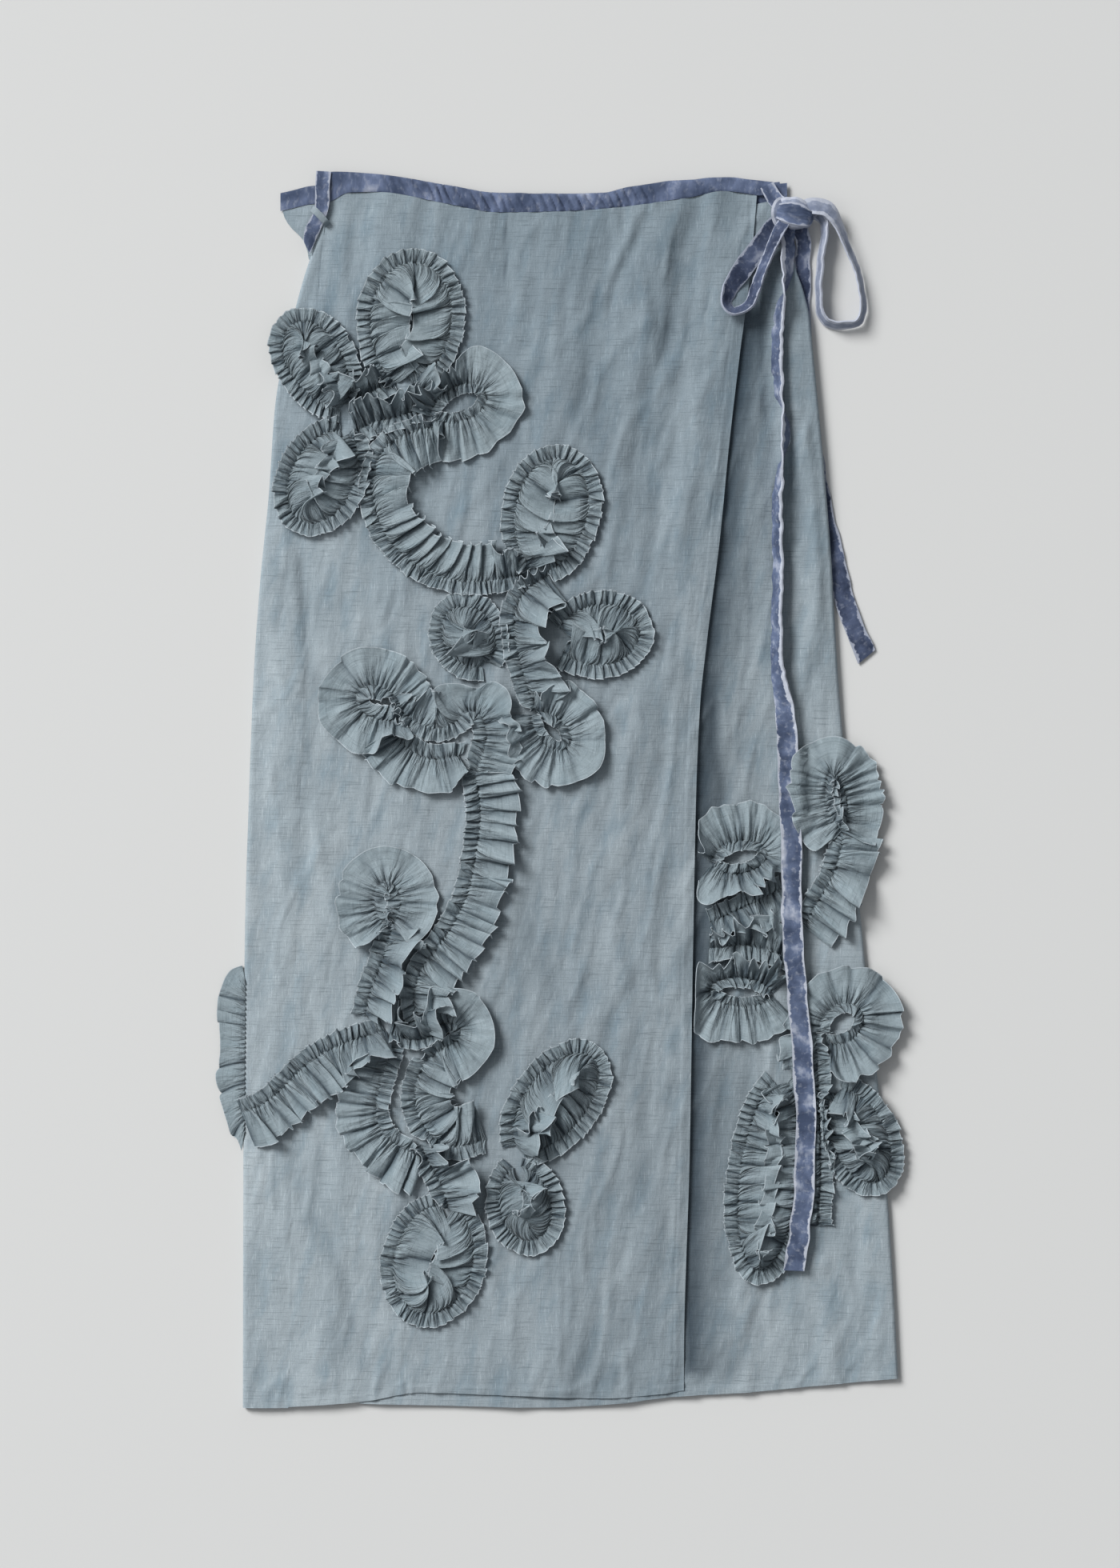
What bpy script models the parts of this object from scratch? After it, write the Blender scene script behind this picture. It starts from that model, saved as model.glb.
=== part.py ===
"""Wrap skirt laid flat, waist towards +Y, in metres with +Z up.

The back lies on the floor and turns over the left fold to a seam on the front. The under front
turns over the right fold and lies on the back. The front laps over it. Velvet binds the waist and
runs out into ties, knotted in a bow at the right. Gathered strips, sewn down along a line a third
of the way across, make looped flowers and the stems between them.

Every size in the tables is in millimetres, and every angle in degrees.
"""
import math
from collections import namedtuple

import bmesh
import bpy
import numpy as np
from mathutils import Vector
from mathutils.bvhtree import BVHTree

MM = 0.001

# Walls and gaps
CLOTH = 1.2
VELVET = 1.4
FRILL = 1.0
SEAM_GAP = 0.3
LAYER_GAP = 0.5
TRIM_GAP = 0.5

# Heights of the two front layers over the floor, at their outer faces
UNDER_TOP = 2.9
FRONT_TOP = UNDER_TOP + LAYER_GAP + CLOTH

# The gathered strip: its frills on both sides of the gathering, and their waves
WIDE_FRILL = 22.0
NARROW_FRILL = 9.5
WIDE_WAVE = 3.8
NARROW_WAVE = 2.0
STANDING_SHARE = 0.5
TALLEST_FRILL = 9.0
ROOM_SHARE = 0.86
FRILL_MARGIN = 0.5
LEAST_FRILL = 1.0
LEAST_PLEAT = 2.6
CALM_PLEAT = 7.0
SECTIONS_A_WAVE = 2
GATHER_LIFT = 0.2

# The ribbon that crosses the lower flowers keeps them under this height
RIBBON_CEILING = 7.6
RIBBON_CLEARANCE = 12.0

# Rows of points in a panel, as shares of its height, and angles round its folds
ROW_SHARES = tuple(np.linspace(0, 0.9, 14)) + (0.925, 0.942, 0.951, 0.96, 0.98, 1.0)
FOLD_ANGLES = (45.0, 90.0, 135.0, 180.0)
FOLD_FLAT = 2.0

Outline = namedtuple("Outline", "keys values")
Crease = namedtuple("Crease", "x0 y0 x1 y1 width height")
Loop = namedtuple("Loop", "name layer x y long short heading leg gap wide waves")
Stem = namedtuple("Stem", "name layer wide waves points")
Station = namedtuple("Station", "x y z tilt width")

# Outlines of the laid skirt: x of each upright edge by y
LEFT_FOLD = Outline(
    (-418, -200, -100, 0, 80, 140, 200, 260, 300, 345, 375, 400),
    (-214.9, -214.4, -213.5, -210.6, -207.4, -203.3, -197.3, -193, -185.5, -174, -164, -157),
)
SIDE_SEAM = Outline(
    (-418, -222, 85, 329, 382, 400),
    (-184, -181, -173, -164, -159.3, -157),
)
FRONT_EDGE = Outline(
    (-406, -363, -250, -115, 0, 58, 100, 167, 236, 296, 345, 401),
    (83, 83.4, 86.9, 89.1, 91.4, 94, 98.5, 107, 113.9, 121, 127.4, 132.3),
)
RIGHT_FOLD = Outline(
    (-397, -325, -228, -113, -17, 42, 76, 157, 224, 296, 319, 338, 356, 402),
    (227.9, 224.1, 217.1, 205.2, 196, 190.1, 187.4, 182.5, 177.1, 170.3, 168, 163.6, 157.7, 152.8),
)
BACK_CORNER = Outline((362, 372, 383, 391, 400), (-170.5, -174.2, -184.4, -188, -189))
UNDER_EDGE = Outline((-415, 390), (-136, -124))

# Hems and waists: y of each level edge by x
FRONT_HEM = Outline(
    (-215, -136.6, -94, -45.4, 27, 69.7, 83.2),
    (-418, -413, -406.6, -408.2, -410.4, -407.2, -405),
)
UNDER_HEM = Outline(
    (-136.6, -82, -9, 33.5, 78.8, 118, 172, 228),
    (-414.2, -415.5, -416.9, -414.7, -409.3, -407.2, -402.3, -397),
)
BACK_HEM = Outline((-215, -136, 0, 79, 118, 172, 228), (-418, -413.6, -413.8, -407.5, -404.5, -400.5, -396.6))
FRONT_WAIST = Outline(
    (-160, -154, -142.6, -124.7, -76, -42, -4, 27, 86, 110, 133),
    (395, 398, 403.4, 403.9, 395.8, 390.1, 390.7, 392.3, 399.8, 404.4, 401.5),
)
FRONT_BAND_TOP = Outline(
    (-160, -154, -124.7, -76, -42, -4, 29, 46, 86, 110, 131, 143),
    (416.5, 418, 416.3, 409.3, 404, 403.4, 404, 408, 412.6, 414.2, 412.6, 410.9),
)
UNDER_WAIST = Outline((-125, -60, 0, 60, 110, 140, 153), (391, 384, 380, 384, 391, 396.5, 397.5))
BACK_WAIST = Outline(
    (-190, -163, -120, -60, 0, 60, 110, 140, 153),
    (391.4, 396.6, 393, 385, 381, 385, 391, 396.5, 397.5),
)
BAND_WIDTH = 12.8

# The slit at the top of the side seam: the back's turned edge is cut away below it, and open above
SLIT_BOTTOM = 360.0
SLIT_CUT = 20.0
SLIT_REST = 1.6
SLIT_SHARE = 0.955

# Soft folds, as ridges raised on the layers
UNDER_CREASES = (
    Crease(143, 355, 161, 231, 8, 1.5),
    Crease(161, 231, 176, 74, 8, 1.8),
    Crease(126, 274, 136, 150, 8, 1.2),
    Crease(150, 60, 160, -20, 9, 1.0),
    Crease(128, -300, 122, -395, 10, 1.0),
)
FRONT_CREASES = (
    Crease(70, 372, 37, 231, 17, 2.6),
    Crease(108, 355, 84, 195, 11, 1.8),
    Crease(84, 195, 52, 40, 13, 2.2),
    Crease(-1, 360, -10, 245, 15, 1.5),
    Crease(-150, 372, -152, 330, 9, 1.0),
    Crease(-186, 155, -183, -90, 11, 1.6),
    Crease(-160, 123, -163, -104, 11, 1.3),
    Crease(46, 30, 44, -150, 14, 1.5),
    Crease(12, -260, -4, -380, 15, 1.3),
    Crease(-150, -240, -160, -400, 13, 1.2),
    Crease(-60, -350, 60, -395, 14, 1.0),
)
RIGHT_ROLL_HEIGHT = 2.2
RIGHT_ROLL_WIDTH = 26.0
RIGHT_ROLL_FLAT_ABOVE = 300.0

# The tie's short end passes under the right fold, which rides over it
UNDERPASS_LIFT = 2.2
UNDERPASS_WIDTH = 26.0
UNDERPASS_BOTTOM = 128.0
UNDERPASS_TOP = 372.0
UNDERPASS_RAMP = 20.0

# Flowers: each loop is an oval of gathering, open at its root, with the wide frill in or out
LOOPS = (
    Loop("upper_top", "front", -101, 319, 37, 27, 84, 8, 36, "in", 8),
    Loop("upper_left", "front", -167, 292, 26, 18, 122, 12, 36, "in", 7),
    Loop("upper_low", "front", -161, 210, 31, 21, 244, 4, 36, "in", 8),
    Loop("upper_fan", "front", -66, 262, 17, 12, 25, 6, 40, "out", 7),
    Loop("middle_tall", "front", -6, 190, 34, 24, 78, 8, 36, "in", 8),
    Loop("middle_right", "front", 27, 105, 26, 20, 8, 4, 36, "in", 7),
    Loop("middle_small", "front", -62, 104, 21, 17, 118, 0, 40, "in", 6),
    Loop("middle_fan_left", "front", -125, 60, 14, 11, 155, 8, 44, "out", 7),
    Loop("middle_fan_low", "front", -5, 39, 14, 10, -45, 4, 50, "out", 7),
    Loop("lower_rosette", "front", -117, -75, 14, 9, 92, 2, 40, "out", 7),
    Loop("lower_fan_right", "front", -76, -164, 14, 9, 15, 4, 60, "out", 6),
    Loop("lower_fan_left", "front", -113, -222, 15, 12, -140, 2, 70, "out", 7),
    Loop("lower_right", "front", -2, -208, 36, 20, 52, 6, 36, "in", 8),
    Loop("lower_centre", "front", -24, -280, 24, 17, -78, 2, 40, "in", 6),
    Loop("lower_end", "front", -86, -318, 35, 26, -104, 4, 36, "in", 8),
    Loop("side_fan_top", "under", 186, -6, 18, 7, 100, 2, 40, "out", 7),
    Loop("side_fan_left", "under", 121, -44, 12, 8, 25, 0, 50, "out", 5),
    Loop("side_fan_low", "under", 121, -136, 14, 8, 175, 0, 50, "out", 5),
    Loop("side_long", "under", 138, -262, 62, 17, -97, 4, 40, "in", 8),
    Loop("side_fan_right", "under", 190, -157, 14, 11, 40, 2, 60, "out", 7),
    Loop("side_low", "under", 201.5, -235, 31, 18, -66, 4, 40, "in", 7),
)

# Stems between the flowers: a smooth line of gathering through a few points
STEMS = (
    Stem("upper_link", "front", "right", 1, ((-118, 275), (-130, 268), (-140, 265))),
    Stem("upper_lead", "front", "left", 1, ((-96, 273), (-92, 269), (-90, 264))),
    Stem("upper_heart", "front", "left", 2, ((-137, 240), (-127, 250), (-114, 256), (-104, 265))),
    Stem("upper_stem", "front", "left", 7, (
        (-88, 245), (-104, 240), (-119, 230), (-126, 212), (-125, 191),
        (-114, 167), (-91, 149), (-63, 141), (-28, 145),
    )),
    Stem("middle_stem", "front", "left", 4, (
        (-12, 143), (-24, 134), (-31, 118), (-29, 94), (-22, 70), (-17, 59),
    )),
    Stem("middle_arch", "front", "left", 4, (
        (-101, 51), (-88, 50), (-76, 58), (-63, 62), (-52, 55), (-50, 38), (-56, 14),
    )),
    Stem("middle_row", "front", "right", 2, ((-108, 42), (-102, 30), (-88, 21), (-73, 22))),
    Stem("lower_stem", "front", "left", 6, (
        (-57, 8), (-54, -15), (-57, -42), (-63, -70), (-76, -96), (-92, -118), (-99, -138), (-95, -157),
    )),
    Stem("rosette_stem", "front", "left", 2, ((-115, -96), (-120, -114), (-127, -132), (-131, -148))),
    Stem("side_branch", "front", "left", 4, ((-122, -163), (-148, -171), (-178, -190), (-207, -206))),
    Stem("lower_bend", "front", "left", 3, ((-91, -179), (-90, -198), (-83, -217), (-69, -231), (-40, -238))),
    Stem("lower_link", "front", "left", 2, ((-97, -226), (-91, -243), (-84, -260), (-79, -275))),
    Stem("side_stem", "under", "left", 2, ((190, -34), (186, -52), (177, -68), (166, -82))),
    Stem("side_row", "under", "left", 1, ((146, -68), (125, -78), (104, -88))),
    Stem("side_top_row", "under", "left", 1, ((104, -106), (125, -104), (147, -110))),
    Stem("side_centre", "under", "left", 3, ((172, -184), (174, -222), (175, -262), (173, -290))),
)

# A strip's end that shows past the left fold, and hangs from it
EDGE_FRILL_TOP = -120.0
EDGE_FRILL_BOTTOM = -238.0
EDGE_FRILL_REACH = 16.8
EDGE_FRILL_WAVES = 5
EDGE_FRILL_START = 1.6
EDGE_FRILL_WAVE = 2.4

# Ties: x, y, z of the ribbon's middle, its tilt from flat and its width
SIDE_TIE = (
    Station(-160, 417.6, 6.6, 0, 9.5),
    Station(-160.5, 409, 8.0, 0, 9.5),
    Station(-160.8, 398, 7.8, 0, 9.5),
    Station(-161.8, 389, 7.4, 5, 8.5),
    Station(-167.4, 378, 4.8, 10, 9.5),
    Station(-171.5, 366.5, 2.6, 0, 7),
)
SIDE_LOOP = (
    Station(-170.2, 392, 3.4, 0, 4.5),
    Station(-167.4, 390.6, 9.4, 0, 4.5),
    Station(-160.8, 387, 10.6, 0, 4.5),
    Station(-155.4, 383.6, 9.6, 0, 4.5),
    Station(-152.8, 382, 6.2, 0, 4.5),
)
FRONT_TIE = (
    Station(134, 409, 7.6, 0, 9),
    Station(139, 405.5, 7.8, 0, 9.5),
    Station(143.5, 401.5, 8.4, 0, 10),
)
LEFT_BOW = (
    Station(141, 378.2, 9.4, 20, 10),
    Station(132.5, 366, 8.6, 15, 11.5),
    Station(122.5, 352, 8.6, 15, 11.5),
    Station(113.5, 339, 10.2, 45, 10.5),
    Station(111.5, 328, 11.6, 70, 10),
    Station(117, 323.3, 12.2, 75, 10),
    Station(125.5, 328, 12.4, 75, 10),
    Station(131, 338, 12.6, 70, 10),
    Station(136, 352, 13.2, 60, 9.5),
    Station(142, 366, 14.2, 45, 9),
    Station(146, 375.8, 15.0, 35, 8.5),
)
RIGHT_BOW = (
    Station(171.8, 392.5, 10.2, 25, 10.5),
    Station(180, 391.2, 8.8, 45, 10.5),
    Station(186.5, 383, 7.8, 65, 11),
    Station(191, 371, 7.0, 72, 11),
    Station(198, 359, 6.4, 76, 11),
    Station(203, 346, 6.2, 78, 11),
    Station(205.6, 331, 6.2, 78, 11),
    Station(203.5, 319.5, 6.2, 78, 11),
    Station(194, 313.4, 6.2, 78, 11),
    Station(183, 315.8, 6.2, 78, 11),
    Station(177, 325, 6.4, 78, 11),
    Station(176.6, 340, 6.6, 78, 11),
    Station(178.5, 356, 6.8, 76, 11),
    Station(180, 371, 8.2, 68, 10),
    Station(174.5, 385, 11.4, 50, 8),
)
LONG_TIE = (
    Station(151.5, 375.6, 8.4, 20, 10),
    Station(150.5, 362, 8.6, 36, 11),
    Station(149.5, 335, 9.0, 48, 11.5),
    Station(148.5, 300, 9.0, 48, 12),
    Station(147.5, 255, 9.0, 44, 12),
    Station(149.5, 215, 9.0, 50, 12),
    Station(150, 180, 9.0, 52, 12),
    Station(148, 140, 8.6, 42, 12),
    Station(148.5, 100, 8.6, 46, 12.5),
    Station(150, 70, 9.0, 34, 13),
    Station(152, 42, 9.8, 3, 13.5),
    Station(153.5, 0, 9.9, 0, 13.5),
    Station(155, -40, 9.9, 0, 13.5),
    Station(156, -103, 9.9, 0, 13.5),
    Station(160.4, -151, 9.9, 0, 14),
    Station(164.7, -204, 9.9, 0, 14),
    Station(164.7, -250, 9.9, 0, 14),
    Station(161.5, -293, 9.9, 0, 14),
    Station(157, -323.5, 9.6, 0, 14),
)
SHORT_TIE = (
    Station(164.0, 379.4, 5.4, 0, 10),
    Station(165.4, 371, 3.6, 0, 10),
    Station(165.2, 362, 1.3, 0, 10.5),
    Station(164.2, 350, 0.8, 0, 11),
    Station(165.5, 306, 0.8, 0, 12),
    Station(169, 263, 0.8, 0, 12),
    Station(174, 220, 0.8, 0, 12),
    Station(180.5, 180, 0.8, 0, 12.5),
    Station(188.5, 141, 0.8, 0, 13),
    Station(196, 116.5, 0.8, 0, 13.5),
    Station(206.8, 90.2, 0.8, 0, 14),
)
KNOT_CENTRE = Vector((156, 389, 10.2))
KNOT_SIZE = Vector((27, 19.5, 11.4))
KNOT_SQUARE = 0.8
KNOT_GAP = 0.4

COLOURS = {
    "ramie": ((0.29, 0.345, 0.385, 1), 0.78),
    "ruffle_cloth": ((0.20, 0.25, 0.27, 1), 0.82),
    "velvet": ((0.10, 0.125, 0.21, 1), 0.6),
}


def clear_scene():
    for thing in list(bpy.data.objects):
        bpy.data.objects.remove(thing)


def smooth_step(value):
    value = min(1.0, max(0.0, value))
    return value * value * (3 - 2 * value)


def along(outline, key):
    """The outline's value at a key, on a smooth line that never overshoots its points."""
    keys, values = outline
    key = min(max(key, keys[0]), keys[-1])
    slopes = [(values[i + 1] - values[i]) / (keys[i + 1] - keys[i]) for i in range(len(keys) - 1)]
    tangents = [slopes[0]]
    for before, after in zip(slopes, slopes[1:]):
        same_way = before * after > 0
        tangents.append(2 * before * after / (before + after) if same_way else 0.0)
    tangents.append(slopes[-1])
    i = min(int(np.searchsorted(keys, key, side="right")) - 1, len(keys) - 2)
    span = keys[i + 1] - keys[i]
    t = (key - keys[i]) / span
    rise = t * t * (3 - 2 * t)
    start = t * (1 - t) * (1 - t) * span * tangents[i]
    end = t * t * (t - 1) * span * tangents[i + 1]
    return values[i] + rise * (values[i + 1] - values[i]) + start + end


def spline(points, count):
    """Evenly spaced points, and their tangents, on a smooth curve through the given ones."""
    points = np.array(points, float)
    padded = np.vstack([2 * points[0] - points[1], points, 2 * points[-1] - points[-2]])
    fine = []
    for p0, p1, p2, p3 in zip(padded, padded[1:], padded[2:], padded[3:]):
        for t in np.arange(0, 1, 1 / 24):
            fine.append(0.5 * (2 * p1 + (p2 - p0) * t + (2 * p0 - 5 * p1 + 4 * p2 - p3) * t**2
                               + (3 * p1 - 3 * p2 + p3 - p0) * t**3))
    fine = np.array(fine + [points[-1]])
    steps = np.linalg.norm(np.diff(fine[:, :2], axis=0), axis=1)
    travelled = np.concatenate([[0], np.cumsum(steps)])
    marks = np.linspace(0, travelled[-1], count)
    even = np.column_stack([np.interp(marks, travelled, fine[:, k]) for k in range(fine.shape[1])])
    tangents = np.gradient(even[:, :2], axis=0)
    tangents /= np.linalg.norm(tangents, axis=1)[:, None]
    return even, tangents


def ridge(crease, x, y):
    """A crease's height at a point: highest along its line, fading to both sides and ends."""
    ax, ay = crease.x0, crease.y0
    bx, by = crease.x1 - ax, crease.y1 - ay
    length = math.hypot(bx, by)
    share = ((x - ax) * bx + (y - ay) * by) / length**2
    aside = abs((x - ax) * by - (y - ay) * bx) / length
    past_end = max(0.0, -share, share - 1) * length
    fade = math.exp(-((aside / crease.width) ** 2) - (past_end / (2.2 * crease.width)) ** 2)
    return crease.height * fade


def under_relief(x, y):
    """How much the under front swells: its rolled right fold, less where the knot lies, and its creases."""
    share = (x - along(RIGHT_FOLD, y) + RIGHT_ROLL_WIDTH) / (0.8 * RIGHT_ROLL_WIDTH)
    height = RIGHT_ROLL_HEIGHT * (1 - 0.75 * smooth_step((y - RIGHT_ROLL_FLAT_ABOVE) / 60))
    return height * smooth_step(share) + sum(ridge(c, x, y) for c in UNDER_CREASES)


def underpass(x, y):
    """How far the skirt is lifted off the floor where the short tie runs under it."""
    across = smooth_step((x - along(RIGHT_FOLD, y) + UNDERPASS_WIDTH) / (0.4 * UNDERPASS_WIDTH))
    begins = smooth_step((y - UNDERPASS_BOTTOM) / UNDERPASS_RAMP)
    ends = smooth_step((UNDERPASS_TOP - y) / UNDERPASS_RAMP)
    return UNDERPASS_LIFT * across * begins * ends


def under_top(x, y):
    return UNDER_TOP + under_relief(x, y) + underpass(x, y)


def front_top(x, y):
    rides_on = under_relief(x, y) + underpass(x, y)
    return FRONT_TOP + rides_on + sum(ridge(c, x, y) for c in FRONT_CREASES)


def right_fold_radius(y):
    inside = along(RIGHT_FOLD, y) - 3
    return (under_top(inside, y) - underpass(inside, y)) / 2


def material(name):
    colour, roughness = COLOURS[name]
    made = bpy.data.materials.get(name) or bpy.data.materials.new(name)
    made.use_nodes = True
    shader = made.node_tree.nodes["Principled BSDF"]
    shader.inputs["Base Color"].default_value = colour
    shader.inputs["Roughness"].default_value = roughness
    shader.inputs["Metallic"].default_value = 0.0
    made.diffuse_color = colour
    return made


def keep(name, mesh, finish):
    mesh.materials.append(material(finish))
    thing = bpy.data.objects.new(name, mesh)
    SKIRT.objects.link(thing)
    return thing


def cloth(name, rows, columns, place, finish, wall, side, turned=False):
    """A grid of cloth whose points place(row, column) gives, with a wall on one side of it."""
    sheet = bmesh.new()
    bmesh.ops.create_grid(sheet, x_segments=columns - 1, y_segments=rows - 1, size=0.5)
    POINTS[name] = [[Vector(place(row, column)) for column in range(columns)] for row in range(rows)]
    for vert in sheet.verts:
        column = round((vert.co.x + 0.5) * (columns - 1))
        row = round((vert.co.y + 0.5) * (rows - 1))
        vert.co = POINTS[name][row][column] * MM
    if turned:
        bmesh.ops.reverse_faces(sheet, faces=sheet.faces)
    mesh = bpy.data.meshes.new(name)
    sheet.to_mesh(mesh)
    sheet.free()
    thing = keep(name, mesh, finish)
    thickness = thing.modifiers.new("wall", "SOLIDIFY")
    thickness.thickness = wall * MM
    thickness.offset = side
    return thing


def settle(x_at, hem, waist, share):
    """The point of a panel at this share of its height, where x_at gives x for a given y."""
    y = -410 + 800 * share
    for _ in range(3):
        x = x_at(y)
        y = along(hem, x) * (1 - share) + along(waist, x) * share
    return x, y


def front_panel():
    shares = np.linspace(0, 1, 14)

    def place(row, column):
        def x_at(y):
            left = along(SIDE_SEAM, y) + SEAM_GAP
            return left + (along(FRONT_EDGE, y) - left) * shares[column]

        x, y = settle(x_at, FRONT_HEM, FRONT_WAIST, ROW_SHARES[row])
        return x, y, front_top(x, y)

    return cloth("front_panel", len(ROW_SHARES), len(shares), place, "ramie", CLOTH, -1)


def under_panel():
    """The under front, which turns over the right fold to a seam on the back."""
    shares = (0, 0.25, 0.45, 0.6, 0.72, 0.82, 0.88, 0.915, 0.94, 0.965, 1)
    columns = len(shares) + len(FOLD_ANGLES) + 1

    def place(row, column):
        def x_at(y):
            inner, outer = along(UNDER_EDGE, y), along(RIGHT_FOLD, y) - right_fold_radius(y)
            return inner + (outer - inner) * shares[min(column, len(shares) - 1)]

        x, y = settle(x_at, UNDER_HEM, UNDER_WAIST, ROW_SHARES[row])
        if column < len(shares):
            return x, y, under_top(x, y)
        radius, low = right_fold_radius(y), underpass(x, y)
        if column == columns - 1:
            return x - FOLD_FLAT, y, low
        turn = math.radians(FOLD_ANGLES[column - len(shares)])
        return x + radius * math.sin(turn), y, low + radius * (1 + math.cos(turn))

    return cloth("under_panel", len(ROW_SHARES), columns, place, "ramie", CLOTH, -1)


def wrap_point(y, share, opened):
    """A point of the back where it turns over the left fold to the side seam, or lies open at the slit."""
    edge = along(LEFT_FOLD, y)
    radius = front_top(edge + 2, y) / 2
    start = edge + radius
    if opened:
        return start + (along(BACK_CORNER, y) - start) * share, 0.0
    bend = math.pi * radius
    top = along(SIDE_SEAM, y) - start
    full = 1.5 * share * bend if share <= 2 / 3 else bend + top * (3 * share - 2)
    kept = min(1.0, max(0.0, (SLIT_BOTTOM - y) / SLIT_CUT))
    run = full * (kept + (1 - kept) * SLIT_REST / (bend + top))
    if run <= bend:
        return start - radius * math.sin(run / radius), radius * (1 - math.cos(run / radius))
    x = start + run - bend
    return x, front_top(x, y)


def back_panel():
    """The back, flat on the floor, then turned over the left fold as far as the side seam."""
    shares = (0, 0.025, 0.04, 0.055, 0.07, 0.1, 0.25, 0.45, 0.65, 0.85, 1)
    wrap_shares = tuple(np.arange(1, 7) / 6)

    def place(row, column):
        share = ROW_SHARES[row]
        opened = share > SLIT_SHARE

        def x_at(y):
            if column >= len(shares):
                return wrap_point(y, wrap_shares[column - len(shares)], opened)[0]
            right = along(RIGHT_FOLD, y) - right_fold_radius(y) - FOLD_FLAT - SEAM_GAP
            return right + (wrap_point(y, 0, opened)[0] - right) * shares[column]

        x, y = settle(x_at, BACK_HEM, BACK_WAIST, share)
        if column < len(shares):
            return x, y, underpass(x, y)
        return x, y, wrap_point(y, wrap_shares[column - len(shares)], opened)[1]

    columns = len(shares) + len(wrap_shares)
    return cloth("back_panel", len(ROW_SHARES), columns, place, "ramie", CLOTH, -1)


def band(name, edge, top_edge, crown):
    """A bound waist edge: velvet folded over it, from a panel's top points up to its own top edge."""
    edge = sorted(edge, key=lambda point: point.x)

    def place(row, column):
        point = edge[column]
        low, high = point.y + SEAM_GAP, top_edge(point)
        return point.x, low + (high - low) * row / 2, point.z + (crown if row == 1 else 0)

    return cloth(name, 3, len(edge), place, "velvet", VELVET, 1)


def waistbands():
    front = [point - Vector((0, 0, CLOTH)) for point in POINTS["front_panel"][-1]]
    left = Vector((-159.5, front[0].y, front[0].z))
    right = Vector((143, 401, front_top(143, 401) - CLOTH))
    band("waistband_front", [left, *front, right], lambda p: along(FRONT_BAND_TOP, p.x), 0.9)
    under = [point - Vector((0, 0, CLOTH)) for point in POINTS["under_panel"][-1][:11]]
    band("waistband_under", under, lambda p: p.y + BAND_WIDTH - 1, 0)
    band("waistband_back", POINTS["back_panel"][-1], lambda p: p.y + BAND_WIDTH, 0)


def seated(station, inward):
    """A ribbon's end station, moved straight towards the knot's middle until it nearly touches the knot."""
    middle = Vector(station[:3])
    step = (KNOT_CENTRE - middle).normalized() * 0.1
    half = Vector((-inward.y, inward.x, 0)).normalized() * math.cos(math.radians(station.tilt)) * station.width / 2
    rise = Vector((0, 0, math.sin(math.radians(station.tilt)) * station.width / 2))
    while knot_distance(middle, half, rise) > KNOT_GAP:
        middle += step
    return station._replace(x=middle.x, y=middle.y, z=middle.z)


def knot_distance(middle, half, rise):
    """How near a ribbon's end comes to the knot, taken at points across both of its faces."""
    across = [middle + (half * way + rise * turned) * share
              for way, turned in ((1, 1), (1, -1)) for share in (-1, -0.5, 0, 0.5, 1)]
    spots = [spot + Vector((0, 0, side * VELVET / 2)) for spot in across for side in (-1, 1)]
    shapes = [Vector([abs(spot[k] - KNOT_CENTRE[k]) / (KNOT_SIZE[k] / 2) for k in range(3)]) for spot in spots]
    levels = [sum(part ** (2 / KNOT_SQUARE) for part in shape) ** (KNOT_SQUARE / 2) for shape in shapes]
    return min((level - 1) * (spot - KNOT_CENTRE).length / level for level, spot in zip(levels, spots))


def ribbon(name, stations, spacing, carrier=None, wall=VELVET, finish="velvet", knotted=()):
    """A ribbon through its stations, turned about its length by each tilt and kept clear of its carrier."""
    stations = list(stations)
    for end in knotted:
        beside = stations[1 if end == 0 else -2]
        stations[end] = seated(stations[end], Vector(stations[end][:3]) - Vector(beside[:3]))
    rough = sum(math.dist(a[:2], b[:2]) for a, b in zip(stations, stations[1:]))
    line, tangents = spline(stations, max(len(stations), round(rough / spacing)))

    def offset(row, side):
        tilt, width = math.radians(line[row][3]), line[row][4]
        reach = side * width / 2
        across = Vector((tangents[row][1], -tangents[row][0], 0)) * math.cos(tilt)
        return (across + Vector((0, 0, math.sin(tilt)))) * reach

    def place(row, column):
        middle = Vector(line[row][:3])
        for side in (-1, -0.5, 0, 0.5, 1):
            spot = middle + offset(row, side)
            under = top_of(carrier, spot.x, spot.y) if carrier else None
            if under is not None:
                middle.z += max(0.0, under + SEAM_GAP + wall / 2 - spot.z)
        return middle + offset(row, 2 * column - 1)

    return cloth(name, len(line), 2, place, finish, wall, 0)


def ties(carrier):
    ribbon("tie_side", SIDE_TIE, 8, carrier)
    ribbon("side_loop", SIDE_LOOP, 3, wall=1.0, finish="ramie")
    ribbon("tie_front", FRONT_TIE, 8, carrier, knotted=(-1,))
    ribbon("bow_left", LEFT_BOW, 7, carrier, knotted=(0, -1))
    ribbon("bow_right", RIGHT_BOW, 9, knotted=(0, -1))
    ribbon("tie_long", LONG_TIE, 16, carrier, knotted=(0,))
    ribbon("tie_short", SHORT_TIE, 16, knotted=(0,))


def knot():
    ball = bmesh.new()
    bmesh.ops.create_uvsphere(ball, u_segments=16, v_segments=9, radius=0.5)
    for vert in ball.verts:
        squared = Vector([math.copysign(abs(2 * c) ** KNOT_SQUARE / 2, c) for c in vert.co])
        vert.co = Vector([KNOT_CENTRE[k] + squared[k] * KNOT_SIZE[k] for k in range(3)]) * MM
    mesh = bpy.data.meshes.new("knot")
    ball.to_mesh(mesh)
    ball.free()
    keep("knot", mesh, "velvet").data.shade_smooth()


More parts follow.
